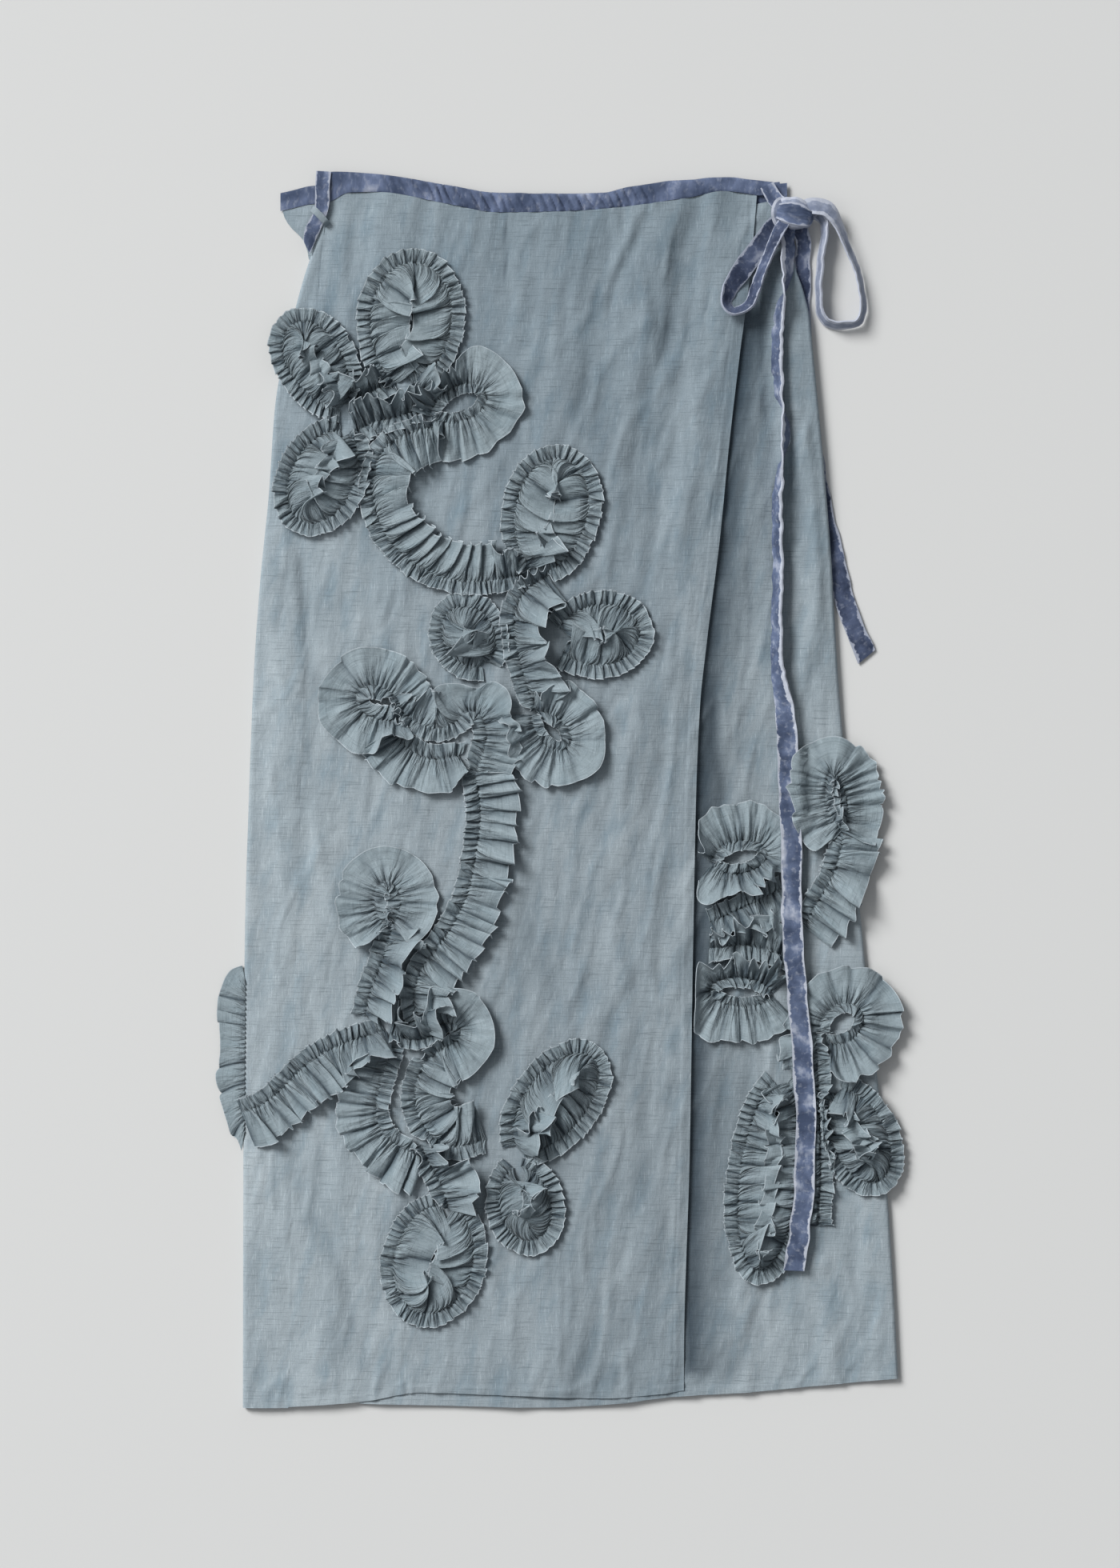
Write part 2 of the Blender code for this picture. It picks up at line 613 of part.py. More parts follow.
def loop_line(loop):
    """A loop's line of gathering, run anticlockwise from its open root."""
    turn = math.radians(loop.heading)
    angles = np.radians(np.linspace(-180 + loop.gap / 2, 180 - loop.gap / 2, 73))
    x = loop.long * np.cos(angles) - loop.leg * ((1 - np.cos(angles)) / 2) ** 4
    y = loop.short * np.sin(angles)
    return [
        (loop.x + u * math.cos(turn) - v * math.sin(turn), loop.y + u * math.sin(turn) + v * math.cos(turn))
        for u, v in zip(x, y)
    ]


Strip = namedtuple("Strip", "name layer wide_left waves line tangents")


def gathered_strips():
    strips = []
    for loop in LOOPS:
        line, tangents = spline(loop_line(loop), loop.waves * SECTIONS_A_WAVE + 1)
        strips.append(Strip(loop.name, loop.layer, loop.wide == "in", loop.waves, line, tangents))
    for stem in STEMS:
        line, tangents = spline(stem.points, stem.waves * SECTIONS_A_WAVE + 1)
        strips.append(Strip(stem.name, stem.layer, stem.wide == "left", stem.waves, line, tangents))
    return strips


def room_beside(point, aside, want, layer, crowd):
    """How far a frill may spread, short of where it comes nearer to another line of gathering."""
    reach = 0.0
    while ROOM_SHARE * reach - FRILL_MARGIN < want:
        spot = point + aside * (reach + 0.5)
        nearest = np.min(np.hypot(crowd[:, 0] - spot[0], crowd[:, 1] - spot[1]))
        tucked = layer == "under" and spot[0] < along(FRONT_EDGE, spot[1]) + 2.0
        if nearest < 0.97 * (reach + 0.5) - 0.1 or tucked:
            return max(LEAST_FRILL, ROOM_SHARE * reach - FRILL_MARGIN)
        reach += 0.5
    return want


def pleat_gaps(line, outward, widths):
    """How far apart the pleats of a frill stand at its edge."""
    tips = line + outward * np.array(widths)[:, None]
    steps = np.linalg.norm(np.diff(tips, axis=0), axis=1)
    return np.minimum(np.append(steps, steps[-1]), np.append(steps[0], steps))


def frill_widths(line, outward, want, layer, crowd):
    """A frill's width at each section, drawn in until its pleats stand clear of each other."""
    widths = [room_beside(point, out, want, layer, crowd) for point, out in zip(line, outward)]
    for _ in range(30):
        gaps = pleat_gaps(line, outward, widths)
        widths = [w * 0.94 if gap < LEAST_PLEAT and w > LEAST_FRILL else w for w, gap in zip(widths, gaps)]
        for i in range(1, len(widths) - 1):
            widths[i] = min(widths[i], max(widths[i - 1], widths[i + 1]) + 1)
    calm = np.minimum(1.0, pleat_gaps(line, outward, widths) / CALM_PLEAT)
    return widths, calm


def ceiling(x, y):
    """The greatest height of a frill's lower face, which is less under the long tie."""
    path = np.array([s[:2] for s in LONG_TIE], float)
    middle = np.interp(-y, -path[:, 1], path[:, 0])
    beside = abs(x - middle) < LONG_TIE[-1].width / 2 + RIBBON_CLEARANCE
    under_tie = beside and y > path[-1][1] - RIBBON_CLEARANCE
    return RIBBON_CEILING if under_tie else math.inf


def top_of(tree, x, y):
    """The height of the outer face straight below x, y."""
    hit = tree.ray_cast(Vector((x, y, 100)) * MM, Vector((0, 0, -1)))[0]
    return hit.z / MM if hit else None


def rest_height(tree, x, y, layer):
    """The highest that a panel reaches round a point, or just inside its fold for a point past it."""
    if layer == "under":
        x = min(x, along(RIGHT_FOLD, y) - 4)
    else:
        x = max(x, along(LEFT_FOLD, y) + 4)
    found = [top_of(tree, x + dx, y + dy) for dx in (-5, 0, 5) for dy in (-5, 0, 5)]
    return max(height for height in found if height is not None)


def ruffle(strip, crowd, tree):
    """One gathered strip: narrow frill, gathering, and the wide frill in two steps."""
    way = 1 if strip.wide_left else -1
    outward = np.column_stack([-strip.tangents[:, 1], strip.tangents[:, 0]]) * way
    wide, wide_calm = frill_widths(strip.line, outward, WIDE_FRILL, strip.layer, crowd)
    narrow, narrow_calm = frill_widths(strip.line, -outward, NARROW_FRILL, strip.layer, crowd)

    def place(row, column):
        point, out = strip.line[row], outward[row]
        up = 1 - row % SECTIONS_A_WAVE
        stand = min(TALLEST_FRILL, STANDING_SHARE * math.sqrt(WIDE_FRILL**2 - wide[row] ** 2))
        inner = STANDING_SHARE * math.sqrt(NARROW_FRILL**2 - narrow[row] ** 2)
        wave = WIDE_WAVE * wide_calm[row]
        spot, rise = (
            (point - out * narrow[row], inner + NARROW_WAVE * narrow_calm[row] * (1 - up)),
            (point, GATHER_LIFT),
            (point + out * wide[row] * 0.6, 0.35 * stand + wave * (0.25 + 0.3 * up)),
            (point + out * wide[row], stand + wave * up),
        )[column]
        over = rest_height(tree, *spot, strip.layer) + TRIM_GAP
        height = over + rise
        if strip.layer == "under":
            height = min(height, max(over, ceiling(*spot)))
        return spot[0], spot[1], height

    rows, name = len(strip.line), "ruffle_" + strip.name
    return cloth(name, rows, 4, place, "ruffle_cloth", FRILL, 1, turned=strip.wide_left)


def edge_frill():
    """The frill that shows past the left fold, fanned out from the fold beside the floor."""
    count = EDGE_FRILL_WAVES * SECTIONS_A_WAVE + 1
    middle = (EDGE_FRILL_TOP + EDGE_FRILL_BOTTOM) / 2

    def place(row, column):
        share = row / (count - 1)
        y = EDGE_FRILL_TOP + (EDGE_FRILL_BOTTOM - EDGE_FRILL_TOP) * share
        root_y = middle + 0.8 * (y - middle)
        root = along(LEFT_FOLD, root_y) - 2 * SEAM_GAP
        reach = EDGE_FRILL_REACH * math.sqrt(math.sin(math.pi * (0.06 + 0.88 * share)))
        wave = EDGE_FRILL_WAVE * (1 - row % SECTIONS_A_WAVE)
        return (
            (root, root_y, EDGE_FRILL_START),
            (root - 0.5 * reach, (y + root_y) / 2, 0.75 * EDGE_FRILL_START + 0.5 * wave),
            (root - reach, y, SEAM_GAP + wave),
        )[column]

    return cloth("ruffle_edge", count, 3, place, "ruffle_cloth", FRILL, 1)


def tree_of(names):
    """A search tree of the finished faces of these pieces, in metres."""
    graph = bpy.context.evaluated_depsgraph_get()
    joined = bmesh.new()
    for name in names:
        joined.from_object(bpy.data.objects[name], graph)
    tree = BVHTree.FromBMesh(joined)
    joined.free()
    return tree


def ruffles():
    trees = {"front": tree_of(("front_panel", "back_panel")), "under": tree_of(("under_panel",))}
    strips = gathered_strips()
    for layer, tree in trees.items():
        own = [s for s in strips if s.layer == layer]
        crowd = np.vstack([spline(s.line, 8 * len(s.line))[0] for s in own])
        for strip in own:
            ruffle(strip, crowd, tree)
    edge_frill()


def main():
    front_panel()
    under_panel()
    back_panel()
    waistbands()
    bpy.context.view_layer.update()
    waist = ("waistband_front", "waistband_under", "waistband_back")
    ties(tree_of(("front_panel", "under_panel", "back_panel") + waist))
    knot()
    ruffles()


clear_scene()
SKIRT = bpy.data.collections.new("wrap_skirt")
bpy.context.scene.collection.children.link(SKIRT)
POINTS = {}
main()
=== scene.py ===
"""The looks of the wrap skirt laid flat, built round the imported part.

The panels get their fine folds, stitching and weave, the velvet its pile, and each gathered strip its
crinkles and pleats. Sizes are in millimetres, and angles in degrees.
"""
import math
from collections import namedtuple

import bmesh
import bpy
import numpy as np
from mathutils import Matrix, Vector


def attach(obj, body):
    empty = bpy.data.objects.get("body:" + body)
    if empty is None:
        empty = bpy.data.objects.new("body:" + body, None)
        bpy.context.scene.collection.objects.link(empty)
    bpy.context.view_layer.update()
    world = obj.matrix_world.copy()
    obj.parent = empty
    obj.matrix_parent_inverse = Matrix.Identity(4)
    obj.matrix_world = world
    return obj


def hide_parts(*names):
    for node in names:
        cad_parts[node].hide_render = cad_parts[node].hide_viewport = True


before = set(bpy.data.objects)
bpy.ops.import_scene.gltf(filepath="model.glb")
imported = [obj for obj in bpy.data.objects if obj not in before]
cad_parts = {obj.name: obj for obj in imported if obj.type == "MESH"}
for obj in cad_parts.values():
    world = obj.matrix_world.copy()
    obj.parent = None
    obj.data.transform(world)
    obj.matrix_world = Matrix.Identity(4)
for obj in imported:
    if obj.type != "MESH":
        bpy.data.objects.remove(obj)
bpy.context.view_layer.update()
MM = 0.001

Outline = namedtuple("Outline", "keys values")
Crease = namedtuple("Crease", "x0 y0 x1 y1 width height")
Loop = namedtuple("Loop", "name layer x y long short heading leg gap wide")
Stem = namedtuple("Stem", "name layer wide points")
Station = namedtuple("Station", "x y z tilt width")
Strip = namedtuple("Strip", "name layer wide_left line tangents")
Side = namedtuple("Side", "width shares gap closing pleat stand wave lift swell crumple pinch")


def rows_of(kind, rows):
    """A table's rows, with its columns named."""
    return tuple(kind(*row) for row in rows)


# Walls, and the heights of the two front layers' tops
PANEL_WALL = 0.55
RUFFLE_WALL = 0.4
UNDER_TOP = 2.9
FRONT_TOP = 4.6

# How far the under front's turn runs on along the floor, and the gap between it and the back
TURN_END = 2.0
SEAM_GAP = 0.3

# Outlines of the laid skirt: x of each upright edge by y
LEFT_FOLD = Outline(
    (-418, -200, -100, 0, 80, 140, 200, 260, 300, 345, 375, 400),
    (-214.9, -214.4, -213.5, -210.6, -207.4, -203.3, -197.3, -193, -185.5, -174, -164, -157),
)
SIDE_SEAM = Outline(
    (-418, -222, 85, 329, 382, 400),
    (-184, -181, -173, -164, -159.3, -157),
)
FRONT_EDGE = Outline(
    (-406, -363, -250, -115, 0, 58, 100, 167, 236, 296, 345, 401),
    (83, 83.4, 86.9, 89.1, 91.4, 94, 98.5, 107, 113.9, 121, 127.4, 132.3),
)
RIGHT_FOLD = Outline(
    (-397, -325, -228, -113, -17, 42, 76, 157, 224, 296, 319, 338, 356, 402),
    (227.9, 224.1, 217.1, 205.2, 196, 190.1, 187.4, 182.5, 177.1, 170.3, 168, 163.6, 157.7, 152.8),
)
BACK_CORNER = Outline((362, 372, 383, 391, 400), (-170.5, -174.2, -184.4, -188, -189))
UNDER_EDGE = Outline((-415, 390), (-136, -124))

# Hems and waists: y of each level edge by x
FRONT_HEM = Outline(
    (-215, -136.6, -94, -45.4, 27, 69.7, 83.2),
    (-418, -413, -406.6, -408.2, -410.4, -407.2, -405),
)
UNDER_HEM = Outline(
    (-136.6, -82, -9, 33.5, 78.8, 118, 172, 228),
    (-414.2, -415.5, -416.9, -414.7, -409.3, -407.2, -402.3, -397),
)
BACK_HEM = Outline(
    (-215, -136, 0, 79, 118, 172, 228),
    (-418, -413.6, -413.8, -407.5, -404.5, -400.5, -396.6),
)
FRONT_WAIST = Outline(
    (-160, -154, -142.6, -124.7, -76, -42, -4, 27, 86, 110, 133),
    (395, 398, 403.4, 403.9, 395.8, 390.1, 390.7, 392.3, 399.8, 404.4, 401.5),
)
FRONT_BAND_TOP = Outline(
    (-160, -154, -124.7, -76, -42, -4, 29, 46, 86, 110, 131, 143),
    (416.5, 418, 416.3, 409.3, 404, 403.4, 404, 408, 412.6, 414.2, 412.6, 410.9),
)
UNDER_WAIST = Outline((-125, -60, 0, 60, 110, 140, 153), (391, 384, 380, 384, 391, 397.5, 399.2))
BACK_WAIST = Outline(
    (-190, -163, -120, -60, 0, 60, 110, 140, 153),
    (391.4, 396.6, 393, 385, 381, 385, 391, 398, 399.6),
)
BAND_WIDTH = 12.8

# Heights up the skirt: the slit at the left begins above one, and the back's turn ends at the other
SLIT_BOTTOM_Y = 362.0
BACK_TURN_TOP_Y = 383.0

# The front's dart, and how far its cut edges droop
DART_X = -37.5
EDGE_DROOP = 0.55

# The long swell that the front's free edge lies on: it falls away to the right of the edge
EDGE_SWELL = 1.9
EDGE_SWELL_WIDTH = 15.0
EDGE_DIP = 1.4

# Soft folds, as ridges raised on the layers
UNDER_CREASES = rows_of(Crease, (
    (143, 355, 161, 231, 8, 1.5), (161, 231, 176, 74, 8, 1.8), (126, 274, 136, 150, 8, 1.2),
    (150, 60, 160, -20, 9, 1), (128, -300, 122, -395, 10, 1),
))
FRONT_CREASES = rows_of(Crease, (
    (70, 372, 37, 231, 17, 2.6), (108, 355, 84, 195, 11, 1.8), (84, 195, 52, 40, 13, 2.2),
    (-1, 360, -10, 245, 15, 1.5), (-150, 372, -152, 330, 9, 1), (-186, 155, -183, -90, 11, 1.6),
    (-160, 123, -163, -104, 11, 1.3), (46, 30, 44, -150, 14, 1.5), (12, -260, -4, -380, 15, 1.3),
    (-150, -240, -160, -400, 13, 1.2), (-60, -350, 60, -395, 14, 1),
))
# Sharper and shallower folds and dents of the cloth itself, a dent being a fold of less than no height
FRONT_FOLDS = rows_of(Crease, (
    (62, 388, 30, 330, 5, -1.3), (30, 330, 14, 262, 6, -1.1), (52, 384, 34, 346, 3.5, 1),
    (48, 386, 46, 330, 3, 0.7), (88, 390, 74, 318, 4, -0.9), (103, 392, 92, 330, 3.5, 0.8),
    (74, 318, 50, 224, 5, -1), (20, 382, 8, 320, 3.5, 0.7), (-20, 380, -26, 318, 4, 0.6),
    (-52, 384, -50, 330, 3.5, -0.5), (-92, 392, -98, 362, 4, -0.7), (-120, 396, -126, 350, 4.5, 0.7),
    (96, 262, 74, 120, 5, 0.8), (62, 190, 48, 84, 5, -0.8), (52, 150, 76, 60, 6, 0.6),
    (-176, 150, -170, 66, 4, -1.2), (-168, 74, -172, -4, 4, -1.1), (-188, 142, -192, 112, 3.5, -0.9),
    (-166, -20, -152, -90, 4, 0.7), (-196, 20, -186, -60, 4, 0.6), (20, -20, 40, -118, 6, 0.8),
    (-26, -92, 10, -152, 6, -0.7), (66, -60, 60, -176, 5, 0.7), (50, -190, 66, -320, 6, -0.7),
    (-190, -236, -180, -330, 5, 0.7), (-160, -300, -130, -392, 5, -0.7), (-44, -340, -24, -400, 5, 0.6),
    (24, -330, 6, -402, 5, 0.7), (-150, -352, -96, -366, 4, 0.5), (-60, -120, -34, -138, 4, 0.5),
))
UNDER_FOLDS = rows_of(Crease, (
    (136, 352, 152, 250, 4, 1), (134, 330, 140, 252, 3, -0.8), (152, 262, 166, 150, 4, -1),
    (168, 240, 178, 130, 4, 1.1), (160, 150, 166, 40, 4.5, 0.9), (176, 90, 180, 20, 3.5, -0.8),
    (120, 150, 112, 30, 5, 0.7), (104, 60, 110, -24, 4, -0.6), (110, -160, 98, -260, 5, 0.7),
    (206, -270, 200, -360, 5, 0.7), (140, -330, 120, -396, 5, -0.6), (176, -320, 186, -390, 5, 0.6),
))
RIGHT_ROLL_HEIGHT = 2.2
RIGHT_ROLL_WIDTH = 26.0
RIGHT_ROLL_FLAT_ABOVE = 300.0

# The tie's short end passes under the right fold, which rides over it
UNDERPASS_LIFT = 2.2
UNDERPASS_WIDTH = 26.0
UNDERPASS_BOTTOM = 128.0
UNDERPASS_TOP = 372.0
UNDERPASS_RAMP = 20.0

# Flowers: each loop is an oval of gathering, open at its root, with the wide frill in or out
LOOPS = rows_of(Loop, (
    ("upper_top", "front", -101, 319, 37, 27, 84, 8, 36, "in"),
    ("upper_left", "front", -167, 292, 26, 18, 122, 12, 36, "in"),
    ("upper_low", "front", -161, 210, 31, 21, 244, 4, 36, "in"),
    ("upper_fan", "front", -66, 262, 17, 12, 25, 6, 40, "out"),
    ("middle_tall", "front", -6, 190, 34, 24, 78, 8, 36, "in"),
    ("middle_right", "front", 27, 105, 26, 20, 8, 4, 64, "in"),
    ("middle_small", "front", -62, 104, 21, 17, 118, 0, 40, "in"),
    ("middle_fan_left", "front", -125, 60, 14, 11, 155, 8, 44, "out"),
    ("middle_fan_low", "front", -5, 39, 14, 10, -45, 4, 50, "out"),
    ("lower_rosette", "front", -117, -75, 14, 9, 92, 2, 40, "out"),
    ("lower_right", "front", -2, -208, 36, 20, 52, 6, 36, "in"),
    ("lower_centre", "front", -24, -280, 24, 17, -78, 2, 40, "in"),
    ("lower_end", "front", -86, -318, 35, 26, -104, 4, 36, "in"),
    ("side_fan_top", "under", 186, -6, 18, 7, 100, 2, 40, "out"),
    ("side_fan_left", "under", 121, -45, 19, 11, 12, 0, 44, "out"),
    ("side_fan_low", "under", 121, -136, 21, 10, 176, 0, 44, "out"),
    ("side_long", "under", 141, -262, 62, 20, -97, 4, 40, "in"),
    ("side_fan_right", "under", 190, -157, 15.5, 12.5, 40, 2, 60, "out"),
    ("side_low", "under", 201.5, -235, 31, 18, -66, 4, 40, "in"),
))

# Stems between the flowers: a smooth line of gathering through a few points
STEMS = rows_of(Stem, (
    ("upper_link", "front", "right", ((-118, 275), (-130, 268), (-140, 265))),
    ("upper_lead", "front", "left", ((-96, 273), (-92, 269), (-90, 264))),
    ("upper_heart", "front", "left", ((-137, 243), (-126, 249), (-112, 252), (-98, 257))),
    ("upper_stem", "front", "left", (
        (-88, 245), (-104, 240), (-119, 230), (-126, 212), (-125, 191),
        (-114, 167), (-91, 149), (-63, 141), (-28, 145),
    )),
    ("middle_stem", "front", "left", (
        (-12, 143), (-24, 134), (-31, 118), (-29, 94), (-22, 70), (-17, 59),
    )),
    ("middle_arch", "front", "left", (
        (-111, 56), (-98, 47), (-84, 42), (-72, 46), (-62, 54), (-53, 50), (-50, 35), (-56, 14),
    )),
    ("middle_row", "front", "right", ((-113, 40), (-103, 28), (-88, 21), (-72, 23))),
    ("lower_stem", "front", "left", (
        (-57, 8), (-54, -15), (-57, -42), (-63, -70), (-76, -96), (-92, -118), (-99, -138), (-95, -157),
    )),
    ("rosette_stem", "front", "left", ((-115, -96), (-120, -114), (-127, -132), (-131, -148))),
    ("side_branch", "front", "left", (
        (-122, -163), (-147, -171), (-170, -184), (-190, -203), (-202, -212.5), (-211.5, -216),
    )),
    ("lower_fan_right", "front", "left", (
        (-112, -165), (-99, -168), (-87, -165), (-81, -158), (-73, -156), (-67.5, -161),
        (-70, -169), (-79, -174), (-88, -180),
    )),
    ("lower_fan_left", "front", "right", (
        (-116, -176), (-120, -190), (-124, -206), (-125, -220), (-119, -233), (-108, -241), (-95, -247),
    )),
    ("lower_bend", "front", "left", (
        (-92, -184), (-97, -197), (-98, -210), (-94, -223), (-85, -234), (-71, -240), (-54, -236),
    )),
    ("lower_link", "front", "left", ((-93, -242), (-87, -254), (-80, -266), (-77, -278))),
    ("side_stem", "under", "left", ((190, -34), (186, -52), (177, -70), (166, -88))),
    ("side_row", "under", "left", ((146, -68), (125, -78), (104, -88))),
    ("side_top_row", "under", "left", ((104, -106), (125, -104), (147, -110))),
    ("side_centre", "under", "right", ((172, -168), (174, -214), (175, -256), (173, -290))),
))

# Ties: x, y, z of the ribbon's middle, its tilt from flat and its width
SIDE_TIE = rows_of(Station, (
    (-160, 417.6, 6.6, 0, 9.5), (-160.5, 409, 8, 0, 9.5), (-160.8, 398, 7.8, 0, 9.5),
    (-161.8, 389, 7.4, 5, 8.5), (-167.4, 378, 4.8, 10, 9.5), (-171.5, 366.5, 2.6, 0, 7),
))
SIDE_LOOP = rows_of(Station, (
    (-168.2, 392.6, 3.4, 0, 4.2), (-166.2, 391.2, 9, 0, 4.2), (-161.8, 387, 10.4, 0, 4.2),
    (-158.2, 382.9, 9.4, 0, 4.2), (-157.2, 381.6, 4, 0, 4.2),
))
FRONT_TIE = rows_of(Station, (
    (139, 408.2, 7.6, 0, 9.5), (140.8, 404.6, 8.2, 0, 9.8), (144.4, 398.6, 9.4, 0, 10),
    (149, 394, 10.8, 0, 10), (153, 391, 11.6, 0, 9),
))
LEFT_BOW = rows_of(Station, (
    (149.5, 386.5, 9.6, 10, 9), (143.5, 380.4, 9.6, 15, 11.5), (133.5, 367, 8.6, 12, 13.4),
    (123, 352.5, 8.6, 12, 13.8), (115, 340, 9.8, 26, 11.5), (111.2, 329, 11.2, 48, 10),
    (116.5, 322.6, 12.2, 54, 10), (125.5, 327.4, 12.4, 54, 10), (131.2, 338, 12.6, 52, 10),
    (136.2, 352, 13.2, 48, 9.5), (142, 366, 14, 40, 9), (147, 376.4, 14.4, 30, 8.5),
    (151, 384, 13.2, 20, 8),
))
RIGHT_BOW = rows_of(Station, (
    (161, 391.5, 11, 5, 9), (170, 393.6, 13.2, 8, 11), (179, 391.2, 13.2, 16, 11.5),
    (186.4, 383, 11.6, 46, 10.4), (190.6, 371, 9.4, 56, 9.6), (196.6, 359, 7.4, 60, 9.4),
    (201.6, 344, 6.4, 62, 9.4), (204.2, 328, 6, 63, 9.4), (200.6, 316.4, 6, 66, 9.4),
    (190, 313.4, 6, 66, 9.4), (179.6, 316.2, 6, 67, 9.4), (174.4, 325, 6, 68, 9.4),
    (173.8, 342, 6, 68, 9.4), (175.4, 360, 6.2, 67, 9.4), (177.2, 374, 6.6, 64, 9.2),
    (176.8, 384, 7.2, 52, 8.6), (172, 388.6, 8.6, 24, 8), (164.6, 389.6, 10, 5, 8),
))
LONG_TIE = rows_of(Station, (
    (154, 386, 9.6, 10, 9), (153, 374, 8.4, 34, 12), (153, 353, 8.6, 50, 12), (151.4, 340, 9, 74, 11.5),
    (147.4, 326, 9, 116, 11.6), (146.2, 300, 9, 122, 11.6), (146.6, 272, 9, 116, 11.6),
    (149.2, 258, 9.4, 92, 11), (151.6, 245, 9, 62, 11.6), (150.9, 231, 9, 68, 11.6),
    (148.4, 217, 9, 100, 11.6), (146.6, 195, 9, 119, 11.6), (146.2, 150, 8.6, 121, 11.6),
    (146.4, 100, 8.6, 122, 12), (148.4, 70, 9, 140, 12.6), (152, 42, 9.8, 174, 13.5),
    (153.5, 0, 9.9, 180, 13.5), (155, -40, 9.9, 180, 13.5), (156, -103, 9.9, 180, 13.5),
    (160.4, -151, 9.9, 180, 14), (164.7, -204, 9.9, 180, 14), (164.7, -250, 9.9, 180, 14),
    (161.5, -293, 9.9, 180, 14), (157, -323.5, 9.6, 180, 14),
))
SHORT_TIE = rows_of(Station, (
    (158, 388, 7.4, 0, 9), (161.4, 379.4, 5.8, 0, 10), (163.4, 371, 3.6, 0, 10),
    (163.8, 362, 1.7, 0, 10.5), (163, 350, 1.3, 0, 11), (163.2, 306, 1.3, 0, 12),
    (166.6, 263, 1.3, 0, 12), (172.4, 220, 1.3, 0, 12), (180, 180, 1.3, 0, 12.5),
    (188.5, 141, 1.3, 0, 13), (196, 116.5, 1.4, 0, 13.5), (206.8, 90.2, 1.3, 0, 14),
))
LEFT_TURN = rows_of(Station, (
    (151.6, 396.8, 9, -12, 8), (147.8, 395.4, 12.2, -8, 8), (146, 391.4, 13.6, 0, 8),
    (145.8, 386.4, 13, 4, 8), (147.6, 382.2, 10.4, 8, 8), (150.8, 380.4, 7.6, 8, 8),
))
TOP_TURN = rows_of(Station, (
    (147.4, 394.2, 10.2, 6, 8), (152, 395.4, 13, 14, 8), (158, 394.8, 13.8, 20, 8),
    (163.6, 392.6, 13.4, 20, 8), (168.4, 390.2, 12.2, 12, 8), (171.4, 386.4, 9.8, 0, 8),
))
LONG_PATH = np.array([station[:2] for station in LONG_TIE], float)

# How far each cut end slants, from its middle to its right-hand edge
SIDE_TIE_CUT = -3.4
LONG_TIE_CUT = -0.8
SHORT_TIE_CUT = 2.2

# The share of a binding that is its face, the steps along puckered and plain velvet, the narrowest ribbon
FACE_SHARE = 0.72
PUCKERED_STEP = 0.75
RIBBON_STEP = 1.3
LEAST_RIBBON = 10.1

KNOT_CENTRE = Vector((157, 387.2, 10.4))
KNOT_SIZE = Vector((27, 19, 13.2))
KNOT_SLANT = math.radians(-14)
KNOT_SELVEDGE = 0.74

# Gathering: how much longer than its line a strip is pleated and is cut, then its steps and crinkles
FULLNESS = 2.1
STEP = 0.5
CRINKLE = 3.0
CRINKLE_DEPTH = 1.2
LAPPING = 0.76
STRIP_END = 4.0
STEM_CLOSING = -0.45

# A strip's two frills: width, rows out, a pleat's spacing and how bends close it, heights, then finer waves
WIDE = Side(
    26, (0, 0.04, 0.09, 0.15, 0.22, 0.31, 0.42, 0.54, 0.67, 0.8, 0.91, 1),
    9.5, -0.8, 8, 8.5, 1.8, 1.4, 1.6, 0.8, 1.3,
)
NARROW = Side(10, (0.12, 0.27, 0.45, 0.66, 0.86, 1), 4.8, STEM_CLOSING, 2.4, 4.5, 0.8, 0.8, 0.8, 0.4, 0.6)
OPEN_CENTRES = (
    "upper_fan", "middle_fan_low", "lower_fan_right", "side_fan_left", "side_fan_low", "side_fan_right",
)
OVER_THE_TIE = "side_fan_top"

# Heights over the floor at which the highest pleats are pressed down, and that none passes
PRESSED_ABOVE = 25
HIGHEST = 28.8

# The frill past the left fold: how far its cut edge stands out, by y
EDGE_FRILL_TOP = -119.0
EDGE_FRILL_BOTTOM = -243.0
EDGE_FRILL_REACH = Outline(
    (-244, -229, -215, -209, -205, -194, -187, -162, -148, -141, -129, -124, -119),
    (0.6, 9, 14.5, 16.5, 15, 18.6, 16.4, 16.2, 18.3, 18, 14.2, 10, 1.5),
)


def ease(value):
    """Rises smoothly from 0 to 1 with the value, and stays level past both."""
    value = np.clip(value, 0.0, 1.0)
    return value * value * (3 - 2 * value)


def bell(value):
    """1 at 0, fading to both sides."""
    return np.exp(-(value**2))


def along(outline, key):
    """The outline's value at a key, on a smooth line that never overshoots its points."""
    keys, values = (np.array(part, float) for part in outline)
    key = np.clip(key, keys[0], keys[-1])
    span, slope = np.diff(keys), np.diff(values) / np.diff(keys)
    product, total = slope[:-1] * slope[1:], slope[:-1] + slope[1:]
    inner = np.where(product > 0, 2 * product / np.where(total == 0, 1, total), 0)
    tangents = np.concatenate([slope[:1], inner, slope[-1:]])
    i = np.clip(np.searchsorted(keys, key, side="right") - 1, 0, len(keys) - 2)
    t = (key - keys[i]) / span[i]
    bend = t * (1 - t) ** 2 * tangents[i] + t * t * (t - 1) * tangents[i + 1]
    return values[i] + t * t * (3 - 2 * t) * (values[i + 1] - values[i]) + span[i] * bend


